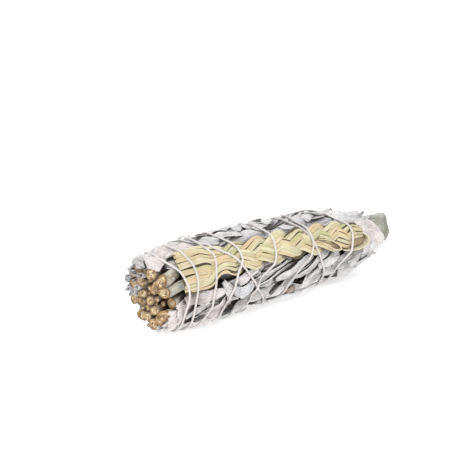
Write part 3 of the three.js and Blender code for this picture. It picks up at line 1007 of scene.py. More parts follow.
    def _leaves_of(self, sprig: Sprig) -> list[Leaf]:
        """Draw the leaves of one outer sprig.

        Args:
            sprig: the sprig.

        Returns:
            Its leaves.
        """
        rng = self.rng
        angle = sprig.stem.ring_angle
        front = abs(float(turn(76.0, angle))) < 43
        upper = abs(float(turn(0.0, angle))) < 50
        lower = abs(float(turn(125.0, angle))) < 45
        tip_front = abs(float(turn(75.0, angle))) < 50
        start = rng.uniform(10.5, 13) if front else rng.uniform(2.0, 5.0)
        leaves = []
        while start < 100:
            length = rng.uniform(24, 42)
            length = min(length, 135.0 + rng.uniform(-5, 1.5) - start)
            if length > 16:
                half_width = rng.uniform(2.4, 4.8) if lower else rng.uniform(2.6, 5.6)
                sizes = {"length": length, "half_width": half_width, "foot": 0.3 * (start < 6),
                         "fullness": 0.72 if start + length < 118 else 0.42}
                sizes["columns"] = 13
                leaves.append(self._leaf(start, angle + rng.gauss(0, 9), **sizes))
            for _ in range(rng.choice((2, 2, 3) if upper else (0, 1, 1, 2)) if start < 97 else 0):
                small = {"length": rng.uniform(9, 18) if upper else rng.uniform(12, 25),
                         "half_width": rng.uniform(1.6, 4.2) if upper else rng.uniform(1.6, 3.4), "rows": 16,
                         "columns": 9, "lean": rng.gauss(-4, 26) if upper else rng.gauss(-13, 9), "root": 0.3,
                         "fullness": 0.5}
                leaves.append(self._leaf(start + rng.uniform(1, 7), angle + rng.uniform(-17, 17), **small))
            start += rng.uniform(4.0, 7.0) if lower else rng.uniform(4.6, 8.2)
        for _ in range(3):
            start = rng.uniform(98, 107)
            reach = (rng.uniform(118, 126) if tip_front else rng.uniform(121, 131) if upper
                     else rng.uniform(126, 136)) - start
            leaves.append(self._leaf(start, angle + rng.uniform(-16, 16), length=reach, fullness=0.42,
                                     half_width=rng.uniform(4, 7.0), tip_lift=rng.uniform(-1.4, 0.5)))
        return leaves

    def _marked_leaves(self, sprigs: Sequence[Sprig]) -> list[tuple[Sprig, Leaf]]:
        """Draw the broad tip leaves, the scraps on top and the strips below the plait.

        Args:
            sprigs: the outer sprigs.

        Returns:
            Each leaf with the sprig it grows from.
        """
        leaves = [
            self._leaf(97.0, 8.0, length=25.0, half_width=4.0, tint=0.33, tip_lift=-0.6, fullness=0.5, lean=8.0),
            self._leaf(99.0, 29.0, length=22.0, half_width=4.8, tint=0.38, tip_lift=-0.3, fullness=0.4, lean=5.0,
                       crumple=1.4),
            self._leaf(98.0, 120.0, length=27.0, half_width=7.0, tint=0.33, tip_lift=-0.6, fullness=0.4, lean=-3.0,
                       fold=Fold.TROUGH, crumple=1.4),
            self._leaf(96.0, 103.0, length=27.0, half_width=6.5, tint=0.85, tip_lift=-0.3, fullness=0.45, lean=-5.0,
                       fold=Fold.PLEATED, fold_height=1.0, crumple=1.2),
            self._leaf(9.0, 96.0, length=22.0, half_width=3.4, tint=0.47, fold=Fold.FLAT, crumple=1.0, foot=0.2,
                       lean=-8.0),
            self._leaf(11.0, 121.0, length=15.0, half_width=2.2, tint=0.7, crumple=0.8, lean=-24.0),
        ]
        drawn = self.rng.uniform
        for start, angle, lean in self.scraps:
            leaves.append(self._leaf(start, angle, length=drawn(8, 13), half_width=drawn(1.6, 2.8),
                                     tint=drawn(0.16, 0.42), lean=lean, rows=14, columns=9, root=0.35, fullness=0.5,
                                     crumple=0.9))
        for start, angle in self.strips:
            leaves.append(self._leaf(start, angle, length=drawn(20, 30), half_width=drawn(1.7, 2.8),
                                     lean=drawn(-24, -13), rows=22, columns=9, root=0.12, fullness=1.0,
                                     fold=self.rng.choice((Fold.HEMS, Fold.LEFT_HEM, Fold.TROUGH)), crumple=0.7,
                                     fold_height=0.8, hem_radius=0.45, tip_lift=0.0))
        return [(self._nearest(sprigs, leaf.angle), leaf) for leaf in leaves]

    def _end_leaves(self, sprigs: Sequence[Sprig]) -> list[tuple[Sprig, Leaf]]:
        """Draw the leaves cut through with the stems and those that lie over them.

        Args:
            sprigs: the outer sprigs.

        Returns:
            Each leaf with the sprig it grows from.
        """
        rng = self.rng
        leaves = []
        for angle in (-95, -78, -60, -45, -30, -12, 4, 158, 176, 195, 214, 232, 250):
            start = rng.uniform(-1.6, 0.8) if angle < 100 else rng.uniform(0.5, 3.5)
            sizes = {"length": rng.uniform(15, 27), "half_width": rng.uniform(3.2, 5.6), "foot": rng.uniform(0.2, 0.4),
                     "root": 0.3}
            leaves.append(self._leaf(start, angle + rng.uniform(-4, 4), **sizes))
        broad = {"fold": Fold.FLAT, "crumple": 0.8, "foot": 0.4, "root": 0.6, "tip_lift": 0.0}
        leaves.append(self._leaf(1.0, 142.0, length=24.0, half_width=6.0, tint=0.5, lean=-6.0, **broad))
        leaves.append(self._leaf(1.4, 124.0, length=26.0, half_width=6.6, tint=0.62, lean=-6.0, **broad))
        leaves.append(self._leaf(4.5, 108.0, length=22.0, half_width=4.6, tint=0.6, lean=-9.0, **broad))
        leaves.append(self._leaf(5.5, 27.0, length=16.0, half_width=4.4, tint=0.6, lean=0.0, **broad))
        thin = {"half_width": 1.7, "fullness": 0.8, "root": 0.15, "fold": Fold.TROUGH, "fold_height": 0.8,
                "crumple": 0.6, "tip_lift": 0.0, "rows": 20, "columns": 9}
        for start, angle, length, lean, tint in ((9, 117, 15, -20, 0.8), (13, 130, 17, -22, 0.5),
                                                 (7, 139, 14, -15, 0.3), (18, 112, 16, -24, 0.6)):
            leaves.append(self._leaf(start, angle, length=length, lean=lean, tint=tint, **thin))
        leaves.append(self._leaf(26.5, 76.0, length=15.0, half_width=2.6, tint=0.45, lean=60.0, fold=Fold.HEMS,
                                 hem_radius=0.8, fullness=0.5, root=0.6))
        leaves.append(self._leaf(62.5, 126.0, length=7.0, half_width=2.3, tint=1.0, lean=4.0, fold=Fold.ARCH,
                                 fold_height=1.2, root=0.5, tip_lift=0.0))
        under_fan = {"half_width": 2.6, "lean": -4.0, "fold": Fold.FLAT, "crumple": 0.7, "root": 0.4, "fullness": 0.8,
                     "tip_lift": 0.0, "rows": 20, "columns": 9}
        for start, angle, length, tint in ((8.5, 90, 17, 0.6), (31, 94, 12, 0.2)):
            leaves.append(self._leaf(start, angle, length=length, tint=tint, **under_fan))
        leaves.append(self._leaf(0.5, 12.0, length=20.0, half_width=5.6, foot=0.3, root=0.5, tint=0.62, lean=0.0))
        leaves.append(self._leaf(-1.4, -38.0, length=17.0, half_width=1.9, foot=0.3, root=0.5, tint=0.5, lean=74.0,
                                 fold=Fold.ARCH, fold_height=0.9, crumple=0.5, bow=0.0))
        return [(self._nearest(sprigs, leaf.angle), leaf) for leaf in leaves]

    def _fill_cut(self) -> None:
        """Set rolled leaves and thin twigs between the stems at the cut, clear of the stems themselves.

        The rolled ones stand where the photograph shows them, away from the plait and near the outside.
        """
        rng = random.Random(self.seed + 5)
        feet = [self._on_cut(sprig.stem.cut_angle, sprig.stem.cut_radius) for sprig in self.sprigs]
        filled = [(*foot, sprig.stem.thickness * 1.08) for foot, sprig in zip(feet, self.sprigs)]
        wanted = [("roll", size) for size in (1.7, 1.6, 1.4, 1.4, 1.2, 1.2, 1.1, 1.1, 1.0, 1.0, 0.9, 0.9, 0.8)]
        wanted += [("twig", rng.choice((0.5, 0.65, 0.85, 1.05))) for _ in range(self.twig_count)]
        for kind, size in wanted:
            for _ in range(400):
                angle = rng.uniform(232, 345) if kind == "roll" else rng.uniform(0, 360)
                radius = rng.uniform(6.5, 14.5) if kind == "roll" else 14.3 * math.sqrt(rng.random())
                across, up = self._on_cut(angle, radius)
                if all(math.hypot(across - a, up - b) > size + c + 0.1 for a, b, c in filled):
                    break
            else:
                continue
            filled.append((across, up, size))
            near = min(range(len(feet)), key=lambda i: math.dist(feet[i], (across, up)))
            owner, seed = self.sprigs[near], rng.randrange(10**6)
            if kind == "roll":
                start, tint = rng.uniform(-2.2, -0.6), rng.uniform(0.84, 0.957)
                owner.rolls.append(Roll(start, 13.0, angle, radius, size, tint, seed))
            else:
                ring = owner.stem.ring_angle, owner.stem.ring_radius * 0.93
                cut, end = rng.uniform(-0.4, 3.0), rng.uniform(18, 34)
                owner.twigs.append(Stem(angle, radius, size, cut, end, *ring, seed))

    @staticmethod
    def _on_cut(angle: float, radius: float) -> tuple[float, float]:
        """Give a place in the cut face as distances towards the front and up."""
        return radius * math.sin(math.radians(angle)), radius * math.cos(math.radians(angle))

    def make(self, press: Press, finishes: "Finishes") -> list[bpy.types.Object]:
        """Mesh every sprig.

        Args:
            press: the binding's pressure.
            finishes: the materials.

        Returns:
            One object for each sprig.
        """
        pieces = []
        for sprig in self.sprigs:
            bm = bmesh.new()
            layers = Layers(bm)
            self._mesh_stem(bm, layers, sprig.stem, press, self.stem_sides, 36)
            for twig in sprig.twigs:
                self._mesh_stem(bm, layers, twig, press, 9, 14)
            for roll in sprig.rolls:
                points, along, across = roll.points(self.bundle)
                # Painted shade: each roll is painted in deepening shade inward from its open end.
                shade = 0.9 * smoothstep(along, 0.06, 0.4)
                laid_sheet(bm, layers, points, roll.tint, shade, along, across, roll.thickness, 0)
            for leaf in sprig.leaves:
                self._mesh_leaf(bm, layers, leaf, press)
            for flap in sprig.flaps:
                self._mesh_flap(bm, layers, flap, press)
            for owner, leaf, at in self.hidden:
                if owner is sprig:
                    self._mesh_hidden_leaf(bm, layers, leaf, at)
            layers.unwrap(bm)
            piece = finished(bm, f"{sprig.node}_dressed", (finishes.leaf, finishes.bark, finishes.cut))
            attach(piece, "root")
            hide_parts(sprig.node)
            pieces.append(piece)
        log.info("sprigs: %d, leaves: %d", len(pieces), sum(len(one.leaves) for one in self.sprigs))
        return pieces

    def _mesh_leaf(self, bm: bmesh.types.BMesh, layers: Layers, leaf: Leaf, press: Press) -> None:
        """Mesh one laid leaf, pressed into the bundle, with shade painted into its colour.

        Args:
            bm: the mesh.
            layers: its layers.
            leaf: the leaf.
            press: the binding's pressure.
        """
        inner = leaf.lying_radius < 10
        pressed = press.radius(leaf.s, leaf.at_angle, leaf.radius)
        points = self.bundle.to_world(leaf.s, leaf.at_angle, pressed)
        # Painted shade: from the leaf's depth under later leaves and between ridges, a fixed amount on the inner tip
        # leaves, halved past 126 mm along and less on the upper side.
        shade = np.full(leaf.s.shape, 0.35) if inner else press.covered(leaf.s, leaf.at_angle, leaf.lying)
        shade = np.where(leaf.s > 126, shade * 0.5, shade)
        shade = shade * (1 - 0.35 * smoothstep(np.cos(np.radians(leaf.at_angle + 15)), 0.5, 0.9))
        along = leaf.t * leaf.length / 10
        across = leaf.v * leaf.outline(leaf.t) / 10
        laid_sheet(bm, layers, points, leaf.tint, shade, along, across, leaf.thickness, 0)

    def _mesh_flap(self, bm: bmesh.types.BMesh, layers: Layers, flap: Flap, press: Press) -> None:
        """Mesh a flap and raise the pressed surface to it, so that the string lies over it.

        Args:
            bm: the mesh.
            layers: its layers.
            flap: the flap.
            press: the binding's pressure.
        """
        s, angle, radius, t, v, shade = flap.surface()
        i = np.clip(np.rint((s - press.pile.s_low) / press.pile.s_cell).astype(int), 0, press.pile.rows - 1)
        j = np.rint(angle / press.pile.angle_cell).astype(int) % press.pile.columns
        outer = v < 0.5
        np.maximum.at(press.surface, (i[outer], j[outer]), radius[outer])
        points = self.bundle.to_world(s, angle, radius)
        laid_sheet(bm, layers, points, flap.tint, shade, t * 1.2, v * 0.8, flap.thickness, 0)

    def _mesh_hidden_leaf(self, bm: bmesh.types.BMesh, layers: Layers, leaf: Leaf, at: float) -> None:
        """Mesh a leaf deep in the bundle, painted wholly in shade.

        Args:
            bm: the mesh.
            layers: its layers.
            leaf: the leaf.
            at: its radius.
        """
        t = np.linspace(0, 1, leaf.rows)[:, None] * np.ones((1, leaf.columns))
        v = np.linspace(-1, 1, leaf.columns)[None, :] * np.ones((leaf.rows, 1))
        width = leaf.outline(t)
        angle = leaf.angle + np.degrees(np.clip(v * width, -4.1, 4.1) / at)
        radius = at + 0.25 * np.sin(3 * v + 9 * t)
        points = self.bundle.to_world(leaf.start + t * leaf.length, angle, radius)
        # Painted shade: the whole leaf is painted in full shade.
        laid_sheet(bm, layers, points, leaf.tint, np.ones_like(t), t * leaf.length / 10, v * width / 10,
                   leaf.thickness, 0)

    def _mesh_stem(
        self, bm: bmesh.types.BMesh, layers: Layers, stem: Stem, press: Press, n: int, rings: int
    ) -> None:
        """Mesh one stem: a ring of edges drawn along its way, closed by a cut face with its rings and pith.

        Args:
            bm: the mesh to make it in.
            layers: the mesh's layers.
            stem: the stem.
            press: the binding's pressure.
            n: its number of sides.
            rings: the number of rings of edges along it.
        """
        rng = random.Random(stem.seed)
        phase = [rng.uniform(0, 2 * math.pi) for _ in range(4)]
        near = rings * 2 // 5
        steps = np.concatenate([np.linspace(stem.cut, 15, near), np.linspace(17, stem.end, rings - near)])
        facing, slant = math.radians(self.towards_eye - stem.cut_angle), rng.uniform(0.35, 0.65)
        tilt = [slant * part + rng.uniform(-0.12, 0.12) for part in (math.cos(facing), math.sin(facing))]
        made = bmesh.ops.create_circle(bm, cap_ends=False, segments=n, radius=1.0)["verts"]
        ring = list(made)
        first = ring
        edges = list({edge for vert in ring for edge in vert.link_edges})
        for k, s in enumerate(steps):
            if k:
                grown = bmesh.ops.extrude_edge_only(bm, edges=edges)["geom"]
                fresh = [one for one in grown if isinstance(one, bmesh.types.BMVert)]
                edges = [one for one in grown if isinstance(one, bmesh.types.BMEdge)]
                edges = [one for one in edges if one.verts[0] in fresh and one.verts[1] in fresh]
                ring = self._matched(ring, fresh)
            fade = max(0.0, 1.0 - float(s - stem.cut) / 5.0)
            self._place_ring(layers, ring, stem, float(s), phase, press, (tilt[0] * fade, tilt[1] * fade))
        for face in {face for vert in first for face in vert.link_faces}:
            face.smooth = True
        far = bmesh.ops.contextual_create(bm, geom=edges)["faces"]
        near_edges = [edge for vert in first for edge in vert.link_edges if edge.is_boundary]
        near = bmesh.ops.contextual_create(bm, geom=list(set(near_edges)))["faces"]
        tube = {vert for vert in bm.verts if vert[layers.tint] == -1.0}
        for face in {face for vert in tube for face in vert.link_faces}:
            face.material_index, face.smooth = 1, True
        for face in far:
            face.material_index = 1
        turn_outwards(bm, list({face for vert in tube for face in vert.link_faces}))
        self._mesh_cut(bm, layers, near[0], stem, rng)
        for vert in tube:
            vert[layers.tint] = rng.uniform(0.0, 1.0) if vert is ring[0] else phase[0] / (2 * math.pi)

    @staticmethod
    def _matched(ring: Sequence[bmesh.types.BMVert], fresh: Sequence[bmesh.types.BMVert]) -> list:
        """Order the vertices of a new ring as those of the last."""
        by_place = {tuple(round(c, 9) for c in vert.co): vert for vert in fresh}
        return [by_place[tuple(round(c, 9) for c in vert.co)] for vert in ring]

    def _place_ring(
        self, layers: Layers, ring: Sequence[bmesh.types.BMVert], stem: Stem, s: float, phase: Sequence[float],
        press: Press, tilt: tuple[float, float],
    ) -> None:
        """Put one ring of a stem's vertices round its middle.

        Args:
            layers: the mesh's layers.
            ring: the vertices.
            stem: the stem.
            s: the distance along the bundle.
            phase: where its ribs start.
            press: the binding's pressure.
            tilt: the slant of the cut, out and sideways.
        """
        angle, radius = (float(one) for one in stem.middle(s))
        own = float(stem.half_thickness(s))
        share = float(press.pile.at(s, angle, press.share)) if s < 90 else 1.0
        share = min(max(share, 0.85), 1.12)
        for k, vert in enumerate(ring):
            a = 2 * math.pi * k / len(ring)
            rib = 1.1 + 0.08 * math.sin(2 * a + phase[3]) + 0.05 * math.sin(3 * a + phase[0] + s * 0.03)
            rib += 0.03 * math.sin(5 * a + phase[1]) + 0.06 * float(1 - smoothstep(s, 0, 3))
            rib += 0.02 * math.sin(s * 0.9 + phase[2] + 2 * a)
            out, side = own * rib * math.cos(a), own * rib * math.sin(a)
            lean = tilt[0] * out + tilt[1] * side
            base = self.bundle.to_world(np.array(s + lean), np.array(angle), np.array(radius * share))
            rad = math.radians(angle)
            vert.co = Vector(base) + MM * Vector((0, -out * math.sin(rad) - side * math.cos(rad),
                                                  out * math.cos(rad) - side * math.sin(rad)))
            reach = math.hypot(vert.co.y - AXIS_Y * MM, vert.co.z - AXIS_Z * MM) / MM
            # Painted shade: stems inside the bundle get shade painted on their bark from a little behind the cut; the
            # outer ones stay clear.
            shade = float(smoothstep(s + lean, 0.1, 2.6) * (1 - smoothstep(reach, 11.0, 13.6)))
            layers.write(vert, -1.0, 0.95 * shade, s / 10, a * own / 10)

    def _mesh_cut(
        self, bm: bmesh.types.BMesh, layers: Layers, face: bmesh.types.BMFace, stem: Stem, rng: random.Random
    ) -> None:
        """Give a stem's cut face its rim, wood and pith.

        Args:
            bm: the mesh.
            layers: its layers.
            face: the cut face.
            stem: the stem.
            rng: the source of the stem's differences.
        """
        own = stem.thickness
        for vert in face.verts:
            vert[layers.out] = 1.0
        hollow = rng.random() < 0.35
        tone = (stem.seed % 97) / 97
        rings = ((0.12, -0.1, 0.86), (0.2, 0.1, 0.62), (0.26, 0.06, 0.34), (0.18, 0.5 if hollow else -0.2, 0.12))
        for inset, depth, reach in rings:
            made = bmesh.ops.inset_region(bm, faces=[face], thickness=inset * own * MM, use_even_offset=True)
            for vert in face.verts:
                vert.co.x += (depth + rng.uniform(-0.1, 0.1)) * MM
                layers.write(vert, tone, 0.0, 0.0, 0.0)
                vert[layers.out] = reach
            for one in made["faces"]:
                one.material_index, one.smooth = 2, True
        face.material_index = 2


@dataclass(frozen=True)
class GrassLoop:
    """A blade that turns back on its edge and leaves a hollow: its way as (s, place across the plait)."""

    way: Sequence[tuple[float, float]]
    low: float
    high: float
    tint: float = 0.4


@dataclass
class Plait:
    """The sweetgrass: blades side by side at the stem end, then three strands plaited."""

    start: float = 8.0
    end: float = 111.5
    plaited_from: float = 27.0
    bump: float = 11.43
    first_bump: float = 33.0
    sway: float = 3.4
    rise: float = 0.95
    strand_half_width: float = 3.6
    blades: int = 6
    fan_spread: float = 5.9
    thickness: float = 0.28
    bed_radius: float = 18.9
    loops: Sequence["GrassLoop"] = ()
    seed: int = 12

    def angle(self, s: Array) -> Array:
        """Give the angle of the plait's middle line."""
        return 51 + 9 * smoothstep(s, 45, 105)

    def hollow(self, s: Array, angle: Array, depth: float) -> Array:
        """Work out how far the plait presses the leaves in.

        Args:
            s: distances along the bundle.
            angle: angles round it.
            depth: the depth in its middle.

        Returns:
            The depth at each place.
        """
        away = np.abs(turn(self.angle(s), angle))
        across = 1 - smoothstep(away, 14, 30)
        return depth * across * (1 - smoothstep(s, self.end - 4, self.end + 8)) * smoothstep(s, 2, self.start + 4)

    def strand(self, k: int, s: Array) -> tuple[Array, Array]:
        """Lead one strand over and under the others.

        Args:
            k: the strand.
            s: distances along the bundle.

        Returns:
            The sideways place and the height of its middle.
        """
        phase = 2 * math.pi * (s - self.first_bump) / (3 * self.bump) + k * 2 * math.pi / 3
        plaited = smoothstep(s, self.plaited_from - 9, self.plaited_from + 3)
        closing = 1 - 0.45 * smoothstep(s, self.end - 12, self.end)
        fan = self.fan_spread * (1, 0, -1)[k]
        swing = 0.1 * np.cos(phase) + 0.9 * np.arcsin(0.995 * np.cos(phase)) / 1.47
        side = (fan * (1 - plaited) + self.sway * swing * plaited) * closing
        return side, -self.rise * np.sin(2 * phase) * plaited * closing

    def make(self, bundle: Bundle, press: Press, finishes: "Finishes") -> bpy.types.Object:
        """Mesh the plait, blade by blade.

        Args:
            bundle: the bundle that it lies on.
            press: the pressed leaves, whose surface is raised to the plait's.
            finishes: the materials.

        Returns:
            The plait's object.
        """
        rng = random.Random(self.seed)
        s = np.linspace(self.start, self.end, 130)
        bed = self._bed(press, s)
        bm = bmesh.new()
        layers = Layers(bm)
        for k in range(3):
            for b in range(self.blades + 1):
                self._mesh_blade(bm, layers, bundle, press, rng, k, b, s, bed)
        for loop in self.loops:
            self._mesh_loop(bm, layers, bundle, press, loop, s, bed)
        layers.unwrap(bm)
        piece = finished(bm, "sweetgrass_plait_dressed", (finishes.grass,))
        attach(piece, "root")
        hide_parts("sweetgrass_plait")
        log.info("plait: %d blades", 3 * (self.blades + 1))
        return piece

    def _bed(self, press: Press, s: Array) -> Array:
        """Even out the leaves under the plait.

        Args:
            press: the pressed leaves.
            s: distances along the bundle.

        Returns:
            Their radius.
        """
        spread = np.degrees(np.linspace(-6.5, 6.5, 14) / self.bed_radius)
        under = press.pile.at(s[:, None], self.angle(s)[:, None] + spread[None, :], press.surface)
        bed = np.quantile(under, 0.85, axis=1)
        for _ in range(12):
            padded = np.pad(bed, 1, mode="edge")
            bed = (padded[:-2] + padded[2:] + 2 * padded[1:-1]) / 4
        return bed + 0.2

    def _mesh_blade(
        self, bm: bmesh.types.BMesh, layers: Layers, bundle: Bundle, press: Press, rng: random.Random,
        k: int, b: int, s: Array, bed: Array,
    ) -> None:
        """Mesh one flat blade of one strand.

        Args:
            bm: the mesh to make it in.
            layers: the mesh's layers.
            bundle: the bundle that it lies on.
            press: the pressed leaves, whose surface is raised to the blade's.
            rng: the source of the blades' differences.
            k: the strand.
            b: the blade, wide ones first, then a narrow one, then the one that lies under them all, painted wholly in
                shade.
            s: the distances along the bundle.
            bed: the radius under the plait at each.
        """
        wide, under = b < self.blades - 1, b == self.blades
        share = (b + 0.5) / (self.blades - 1) * 2 - 1 if wide else rng.uniform(-0.5, 0.5) * (not under)
        side, lift = self.strand(k, s)
        closing = 1 - 0.5 * smoothstep(s, self.end - 14, self.end)
        half = self.strand_half_width * closing
        plaited = smoothstep(s, self.plaited_from - 6, self.plaited_from + 2)
        if wide:
            width = half / (self.blades - 1) * (rng.uniform(0.85, 1.0) + rng.uniform(0.05, 0.22) * plaited)
        else:
            width = half * (0.93 if under else rng.uniform(0.12, 0.2))
        width = width * (1 + 0.12 * np.sin(s / 8 + rng.uniform(0, 6)))
        wander = 0.35 * np.sin(s / 9 + rng.uniform(0, 6)) + 0.16 * np.sin(s / 3.1 + rng.uniform(0, 6))
        wander = wander * (not under)
        crown = 0.18 * (1 - share**2) + (rng.uniform(-0.2, 0.2) if wide else -0.45 if under else 0.3)
        crown = crown + 0.12 * np.sin(s / 6.3 + rng.uniform(0, 6))
        slope = np.gradient(side, s)
        v = np.array([-1, -0.9, -0.48, 0, 0.48, 0.9, 1])[None, :]
        shift = (share * half + wander)[:, None] + v * width[:, None]
        squeeze = 1 / np.sqrt(1 + slope**2)[:, None]
        across = side[:, None] + shift * squeeze
        ends = rng.uniform(-0.9, 0.9) * (1 - smoothstep(s, self.start, self.start + 6))
        along = s[:, None] - shift * slope[:, None] * squeeze + ends[:, None]
        along = np.maximum(along, self.start - 0.9)
        curl = 0.14 * (1 - v**2)
        tuck = -0.35 * np.abs(share) * np.clip(share * side[:, None] / self.sway, 0, 1)
        up = 1.7 + lift[:, None] + crown[:, None] + curl + tuck
        angle = self.angle(along) + np.degrees(across / self.bed_radius)
        radius = bed[:, None] + up
        points = bundle.to_world(along, angle, radius)
        i = np.rint((along - press.pile.s_low) / press.pile.s_cell).astype(int)
        j = np.rint(angle / press.pile.angle_cell).astype(int) % press.pile.columns
        np.maximum.at(press.surface, (i, j), radius)
        # Painted shade: where a strand dips under the others its blades are painted in shade.
        shade = 0.9 * smoothstep(-(lift + 0.5 * crown), 0.3, 1.05)[:, None] * np.ones_like(points[..., 0])
        # Painted shade: thin lines of shade along both edges of every blade, stronger in places.
        edge = 0.7 + 0.3 * np.sin(s / 4.0 + rng.uniform(0, 6))[:, None]
        shade = np.maximum(shade, edge * np.array([0.95, 0.12, 0, 0, 0, 0.12, 0.95])[None, :])
        # Painted shade: the blade under the strand is painted wholly in shade, to show through the gaps.
        if under:
            shade = np.ones_like(shade)
        length = np.broadcast_to((s[:, None] - self.start) / 10, shade.shape)
        laid_sheet(bm, layers, points, rng.random(), shade, length, np.broadcast_to(v * 0.1, shade.shape),
                   self.thickness, 0)

    def _mesh_loop(
        self, bm: bmesh.types.BMesh, layers: Layers, bundle: Bundle, press: Press, loop: GrassLoop, s: Array,
        bed: Array,
    ) -> None:
        """Mesh a blade that stands on its edge, and a blade in its hollow painted in shade.

        Args:
            bm: the mesh.
            layers: its layers.
            bundle: the bundle it lies on.
            press: the pressed leaves, raised to the blade's edge.
            loop: its way.
            s: distances along the bundle.
            bed: the radius under the plait at each.
        """
        way = np.array(loop.way, dtype=float)
        for _ in range(3):
            between = 0.75 * way[:-1] + 0.25 * way[1:], 0.25 * way[:-1] + 0.75 * way[1:]
            way = np.vstack([way[:1], np.stack(between, axis=1).reshape(-1, 2), way[-1:]])
        rise = np.linspace(loop.low, loop.high, 6)[None, :]
        ease = np.sin(np.pi * np.linspace(0.08, 0.92, len(way)))[:, None] ** 0.4
        along = way[:, :1] + 0 * rise
        lean = 0.25 * (rise - loop.low)
        angle = self.angle(along) + np.degrees((way[:, 1:] + lean) / self.bed_radius)
        radius = np.interp(along, s, bed) + loop.low + (rise - loop.low) * ease
        points = bundle.to_world(along, angle, radius)
        i = np.rint((along - press.pile.s_low) / press.pile.s_cell).astype(int)
        j = np.rint(angle / press.pile.angle_cell).astype(int) % press.pile.columns
        np.maximum.at(press.surface, (i, j), radius)
        # Painted shade: the standing blade is painted in shade towards its foot, inside the hollow.
        shade = 0.75 * (1 - (rise - loop.low) / (loop.high - loop.low)) ** 0.8 * np.ones_like(along)
        laid_sheet(bm, layers, points, loop.tint, shade, along / 10, rise * 0.1 * np.ones_like(along),
                   self.thickness, 0)
        half = (len(way) + 1) // 2
        share = np.linspace(0, 1, 5)[None, :]
        sides = [np.stack([one[:half, 0], angle[:half, 0] if k == 0 else angle[::-1][:half, 0]])
                 for k, one in enumerate((way, way[::-1]))]
        floor_s, floor_angle = (sides[0][k][:, None] * (1 - share) + sides[1][k][:, None] * share for k in (0, 1))
        floor_radius = np.interp(floor_s, s, bed) + loop.low + 1.5
        # Painted shade: the blade laid in the hollow is painted mostly in shade, to stand for the shade there.
        painted_shade = 0.62 + 0.25 * share * np.ones_like(floor_s)
        laid_sheet(bm, layers, bundle.to_world(floor_s, floor_angle, floor_radius), 0.6, painted_shade, floor_s / 10,
                   0.2 * share * np.ones_like(floor_s), self.thickness, 0)


@dataclass
class CottonString:
    """The string: a twisted cord drawn along its route over the leaves and the plait."""

    route: StringRoute
    lay_length: float = 3.4
    plies: int = 3
    pass_over: float = 1.12

    def path(self, bundle: Bundle, press: Press) -> tuple[Array, Array, Array]:
        """Rest the route on what lies under it.

        Args:
            bundle: the bundle it is tied round.
            press: the pressed leaves and the plait.

        Returns:
            The route's s, angle and radius.
        """
        s, angle = self.route.fine()
        tops = dilated(dilated(press.surface, 0, 1, False), 1, 2, True)
        under = press.pile.at(s, angle, tops)
        rest = under.copy()
        sag = self.route.spacing**2 / (2 * self.route.mean_radius)
        for _ in range(2500):
            padded = np.pad(rest, 1, mode="edge")
            rest = np.maximum(under - 0.25, (padded[:-2] + padded[2:]) / 2 - sag)
        radius = rest + self.route.radius * 0.8
        x = s
        y = np.radians(angle % 360) * self.route.mean_radius
        circle = 2 * math.pi * self.route.mean_radius
        lift = np.zeros_like(radius)
        for i in range(len(s)):
            before = angle[:i:3] < angle[i] - 180
            if not before.any():
                continue
            dy = np.abs(y[:i:3][before] - y[i])
            near = np.hypot(x[:i:3][before] - x[i], np.minimum(dy, circle - dy)).min()
            lift[i] = self.pass_over * (1 - float(smoothstep(near, 0.8, 3.2)))
        radius = radius + lift
        down = -np.cos(np.radians(angle))
        floor = (bundle.axis_z - self.route.radius - 0.02) / np.maximum(down, 0.3)
        return s, angle, np.where(down > 0.3, np.minimum(radius, floor), radius)

    def make(self, bundle: Bundle, press: Press, finishes: "Finishes") -> bpy.types.Object:
        """Draw the cord along its route and turn it into a mesh.

        Args:
            bundle: the bundle it is tied round.
            press: the pressed leaves and the plait.
            finishes: the materials.

        Returns:
            The string's object.
        """
        s, angle, radius = self.path(bundle, press)
        points = bundle.to_world(s, angle, radius)
        run = np.concatenate([[0], np.cumsum(np.linalg.norm(np.diff(points, axis=0), axis=1))])
        profile = bpy.data.curves.new("cord_section", "CURVE")
        profile.dimensions = "2D"
        loop = profile.splines.new("POLY")
        count = 5 * self.plies
        loop.points.add(count - 1)
        for k in range(count):
            a = 2 * math.pi * k / count
            r = self.route.radius * (0.82 + 0.18 * math.cos(self.plies * a)) * MM
            loop.points[k].co = (r * math.cos(a), -r * math.sin(a), 0, 1)
        loop.use_cyclic_u = True
        section = bpy.data.objects.new("cord_section", profile)
        bpy.context.scene.collection.objects.link(section)
        curve = bpy.data.curves.new("cotton_cord", "CURVE")
        curve.dimensions = "3D"
        curve.twist_mode = "MINIMUM"
        curve.bevel_mode = "OBJECT"
        curve.bevel_object = section
        curve.use_fill_caps = True
        spline = curve.splines.new("POLY")
        spline.points.add(len(points) - 1)
        for k, point in enumerate(points):
            spline.points[k].co = (*point, 1)
            spline.points[k].tilt = 2 * math.pi * run[k] / (self.lay_length * MM)
        cord = bpy.data.objects.new("cotton_cord", curve)
        bpy.context.scene.collection.objects.link(cord)
        bpy.context.view_layer.update()
        mesh = bpy.data.meshes.new_from_object(cord.evaluated_get(bpy.context.evaluated_depsgraph_get()))
        for one in (cord, section):
            bpy.data.objects.remove(one)
        mesh.name = "cotton_string_dressed"
        mesh.materials.clear()
        mesh.materials.append(finishes.cotton)
        for face in mesh.polygons:
            face.use_smooth = True
        piece = bpy.data.objects.new("cotton_string_dressed", mesh)
        bpy.context.scene.collection.objects.link(piece)
        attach(piece, "root")
        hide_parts("cotton_string")
        log.info("string: %.0f mm long, %.2f mm thick", run[-1] * 1000, 2 * self.route.radius)
        return piece


